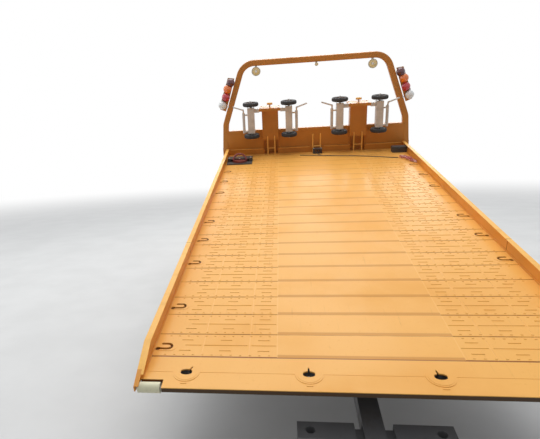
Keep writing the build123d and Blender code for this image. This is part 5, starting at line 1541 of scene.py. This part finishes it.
def buildDoorDetails(side, sign):
    door = "door_" + side
    seal, lock = bmesh.new(), bmesh.new()
    outline = alongSides(cab["window"], cab["sealShares"])
    route = [(sign * (cabSideX(z) - cab["sealIn"]), y, z) for y, z in outline]
    addPipe(seal, route, cab["sealRadius"], closed=True)
    meshPiece(side + "WindowSeal", seal, "wheelRubber", door)
    x, y, z = cab["lockAt"]
    addRod(lock, aimed((sign * x, y, z), (sign, 0, 0)), **cab["lock"])
    meshPiece(side + "DoorLock", lock, "chromeSteel", door)
    handle = [([sign * edge for edge in x], *rest) for x, *rest in cab["handle"]]
    boxPiece(side + "DoorHandle", "darkPlastic", handle, door)


def buildCabSides():
    buildDoorDetails("left", -1)
    buildDoorDetails("right", 1)
    gutters, dials = bmesh.new(), bmesh.new()
    for sign in (-1, 1):
        route = [(sign * cab["gutterX"], y, cab["gutterZ"]) for y in cab["gutterY"]]
        addPipe(gutters, route, cab["gutterRadius"])
    meshPiece("gutters", gutters, "orangePaint")
    boxPiece("sideLamps", "amberLens", bothSides(cab["lamp"]))
    vents = []
    for z in (cab["ventFoot"] + cab["ventStep"] * step for step in range(cab["vents"])):
        x = [cabSideX(z) + off for off in cab["ventX"]]
        vents.append((x, cab["ventY"], (z, z + cab["ventTall"]), cab["ventBevel"]))
    boxPiece("cabVents", "darkPlastic", bothSides(*vents))
    boxPiece("sillTrim", "darkPlastic", bothSides(cab["sill"]))
    boxPiece("cabBackRibs", "orangePaint", cab["backRibs"])
    boxPiece("roofRibs", "orangePaint", cab["roofRibs"])
    for spot in cab["dialsAt"]:
        addRod(dials, aimed(spot, cab["dialAim"]), **cab["dial"])
    addPipe(dials, cab["lever"], cab["leverRadius"])
    addLathe(dials, cab["knob"], Matrix.Translation(cab["knobAt"]), around=20)
    meshPiece("dialsAndLever", dials, "darkPlastic")


buildCabSides()

# Deck sides: marker lamps by Geometry Nodes, dark U-shaped lines round the lashing slots and dark strips round the
# tail rollers, both painted shade
deckSides = {
    "markerX": 1.1035, "markerFirst": 0.62, "markerStep": 0.74, "markers": 6, "markerZ": -0.072,
    "markerSize": (0.011, 0.070, 0.026), "markerShrink": 0.9,
    "edgeTurn": (1.001, 0.003), "edgeRadii": (0.0145, 0.0258), "edgeEnds": (1.046, 1.034), "edgeZ": 0.0018,
    "edgeWire": 0.0011, "edgeSteps": 12,
    "rollerShadeBoxes": (
        ((0.966, 0.9695), (0.004, 0.054), (-0.027, -0.0005), 0.0005),
        ((0.970, 1.076), (0.0545, 0.0575), (-0.030, -0.0005), 0.0005),
    ),
}


def slotEdge(sign, seamPlace, radius):
    # a U of painted shade round a lashing slot, its turn towards the middle of the deck
    steps, (turnX, turnY), (near, far) = (deckSides[key] for key in ("edgeSteps", "edgeTurn", "edgeEnds"))
    middle = deck["lastSeam"] + seamPlace * deck["seamPitch"] + turnY
    route = [(near, middle - radius)]
    for step in range(steps + 1):
        angle = -math.pi / 2 - math.pi * step / steps
        route.append((turnX + radius * math.cos(angle), middle + radius * math.sin(angle)))
    route.append((far, middle + radius))
    return [(sign * x, y, deckSides["edgeZ"]) for x, y in route]


def buildDeckSides():
    sides = deckSides
    for side, sign in (("Left", -1), ("Right", 1)):
        growPiece(f"markerLamps{side}", barGrid, {
            "First": (sign * sides["markerX"], sides["markerFirst"], sides["markerZ"]), "Bars": 1,
            "Bar step": (0, 1, 0), "Rows": sides["markers"], "Row step": (0, sides["markerStep"], 0),
            "Bar size": sides["markerSize"], "Top shrink": sides["markerShrink"],
        }, "amberLens", *onDeck)
    edges = bmesh.new()
    for place in deckHoles["lashing"]:
        for sign in (-1, 1):
            for radius in sides["edgeRadii"]:
                addPipe(edges, slotEdge(sign, place, radius), sides["edgeWire"], sides=6)
    # painted shade: dark lines round the lashing slots and dark strips round the tail rollers
    meshPiece("slotShadeLines", edges, "shadeAndJointBrown", *onDeck)
    boxPiece("rollerShadeStrips", "shadeAndJointBrown", bothSides(*sides["rollerShadeBoxes"]), *onDeck)


buildDeckSides()

# Rolled edges of the rear mudguards about the axle, and ribs on their flaps
mudguards = {
    "edgeX": (0.525, 1.0), "centre": (-0.7432, 0.38), "radius": 0.4365, "arc": (8, 172), "steps": 24,
    "wire": 0.0065,
    "ribs": [(span(x, 0.006), (-1.2192, -1.2122), (0.18, 0.44), 0.001) for x in (0.56, 0.76, 0.96)],
}


def buildMudguardEdges():
    edges = bmesh.new()
    y, z = mudguards["centre"]
    start, end = (math.radians(angle) for angle in mudguards["arc"])
    arc = turnPoints(mudguards["steps"], start, end - start) + [(math.cos(end), math.sin(end))]
    radius = mudguards["radius"]
    for sign in (-1, 1):
        for x in mudguards["edgeX"]:
            addPipe(edges, [(sign * x, y + radius * c, z + radius * s) for c, s in arc], mudguards["wire"])
    for box in bothSides(*mudguards["ribs"]):
        addBox(edges, *box)
    meshPiece("mudguardEdges", edges, "darkPlastic")


buildMudguardEdges()
print("sides finished")
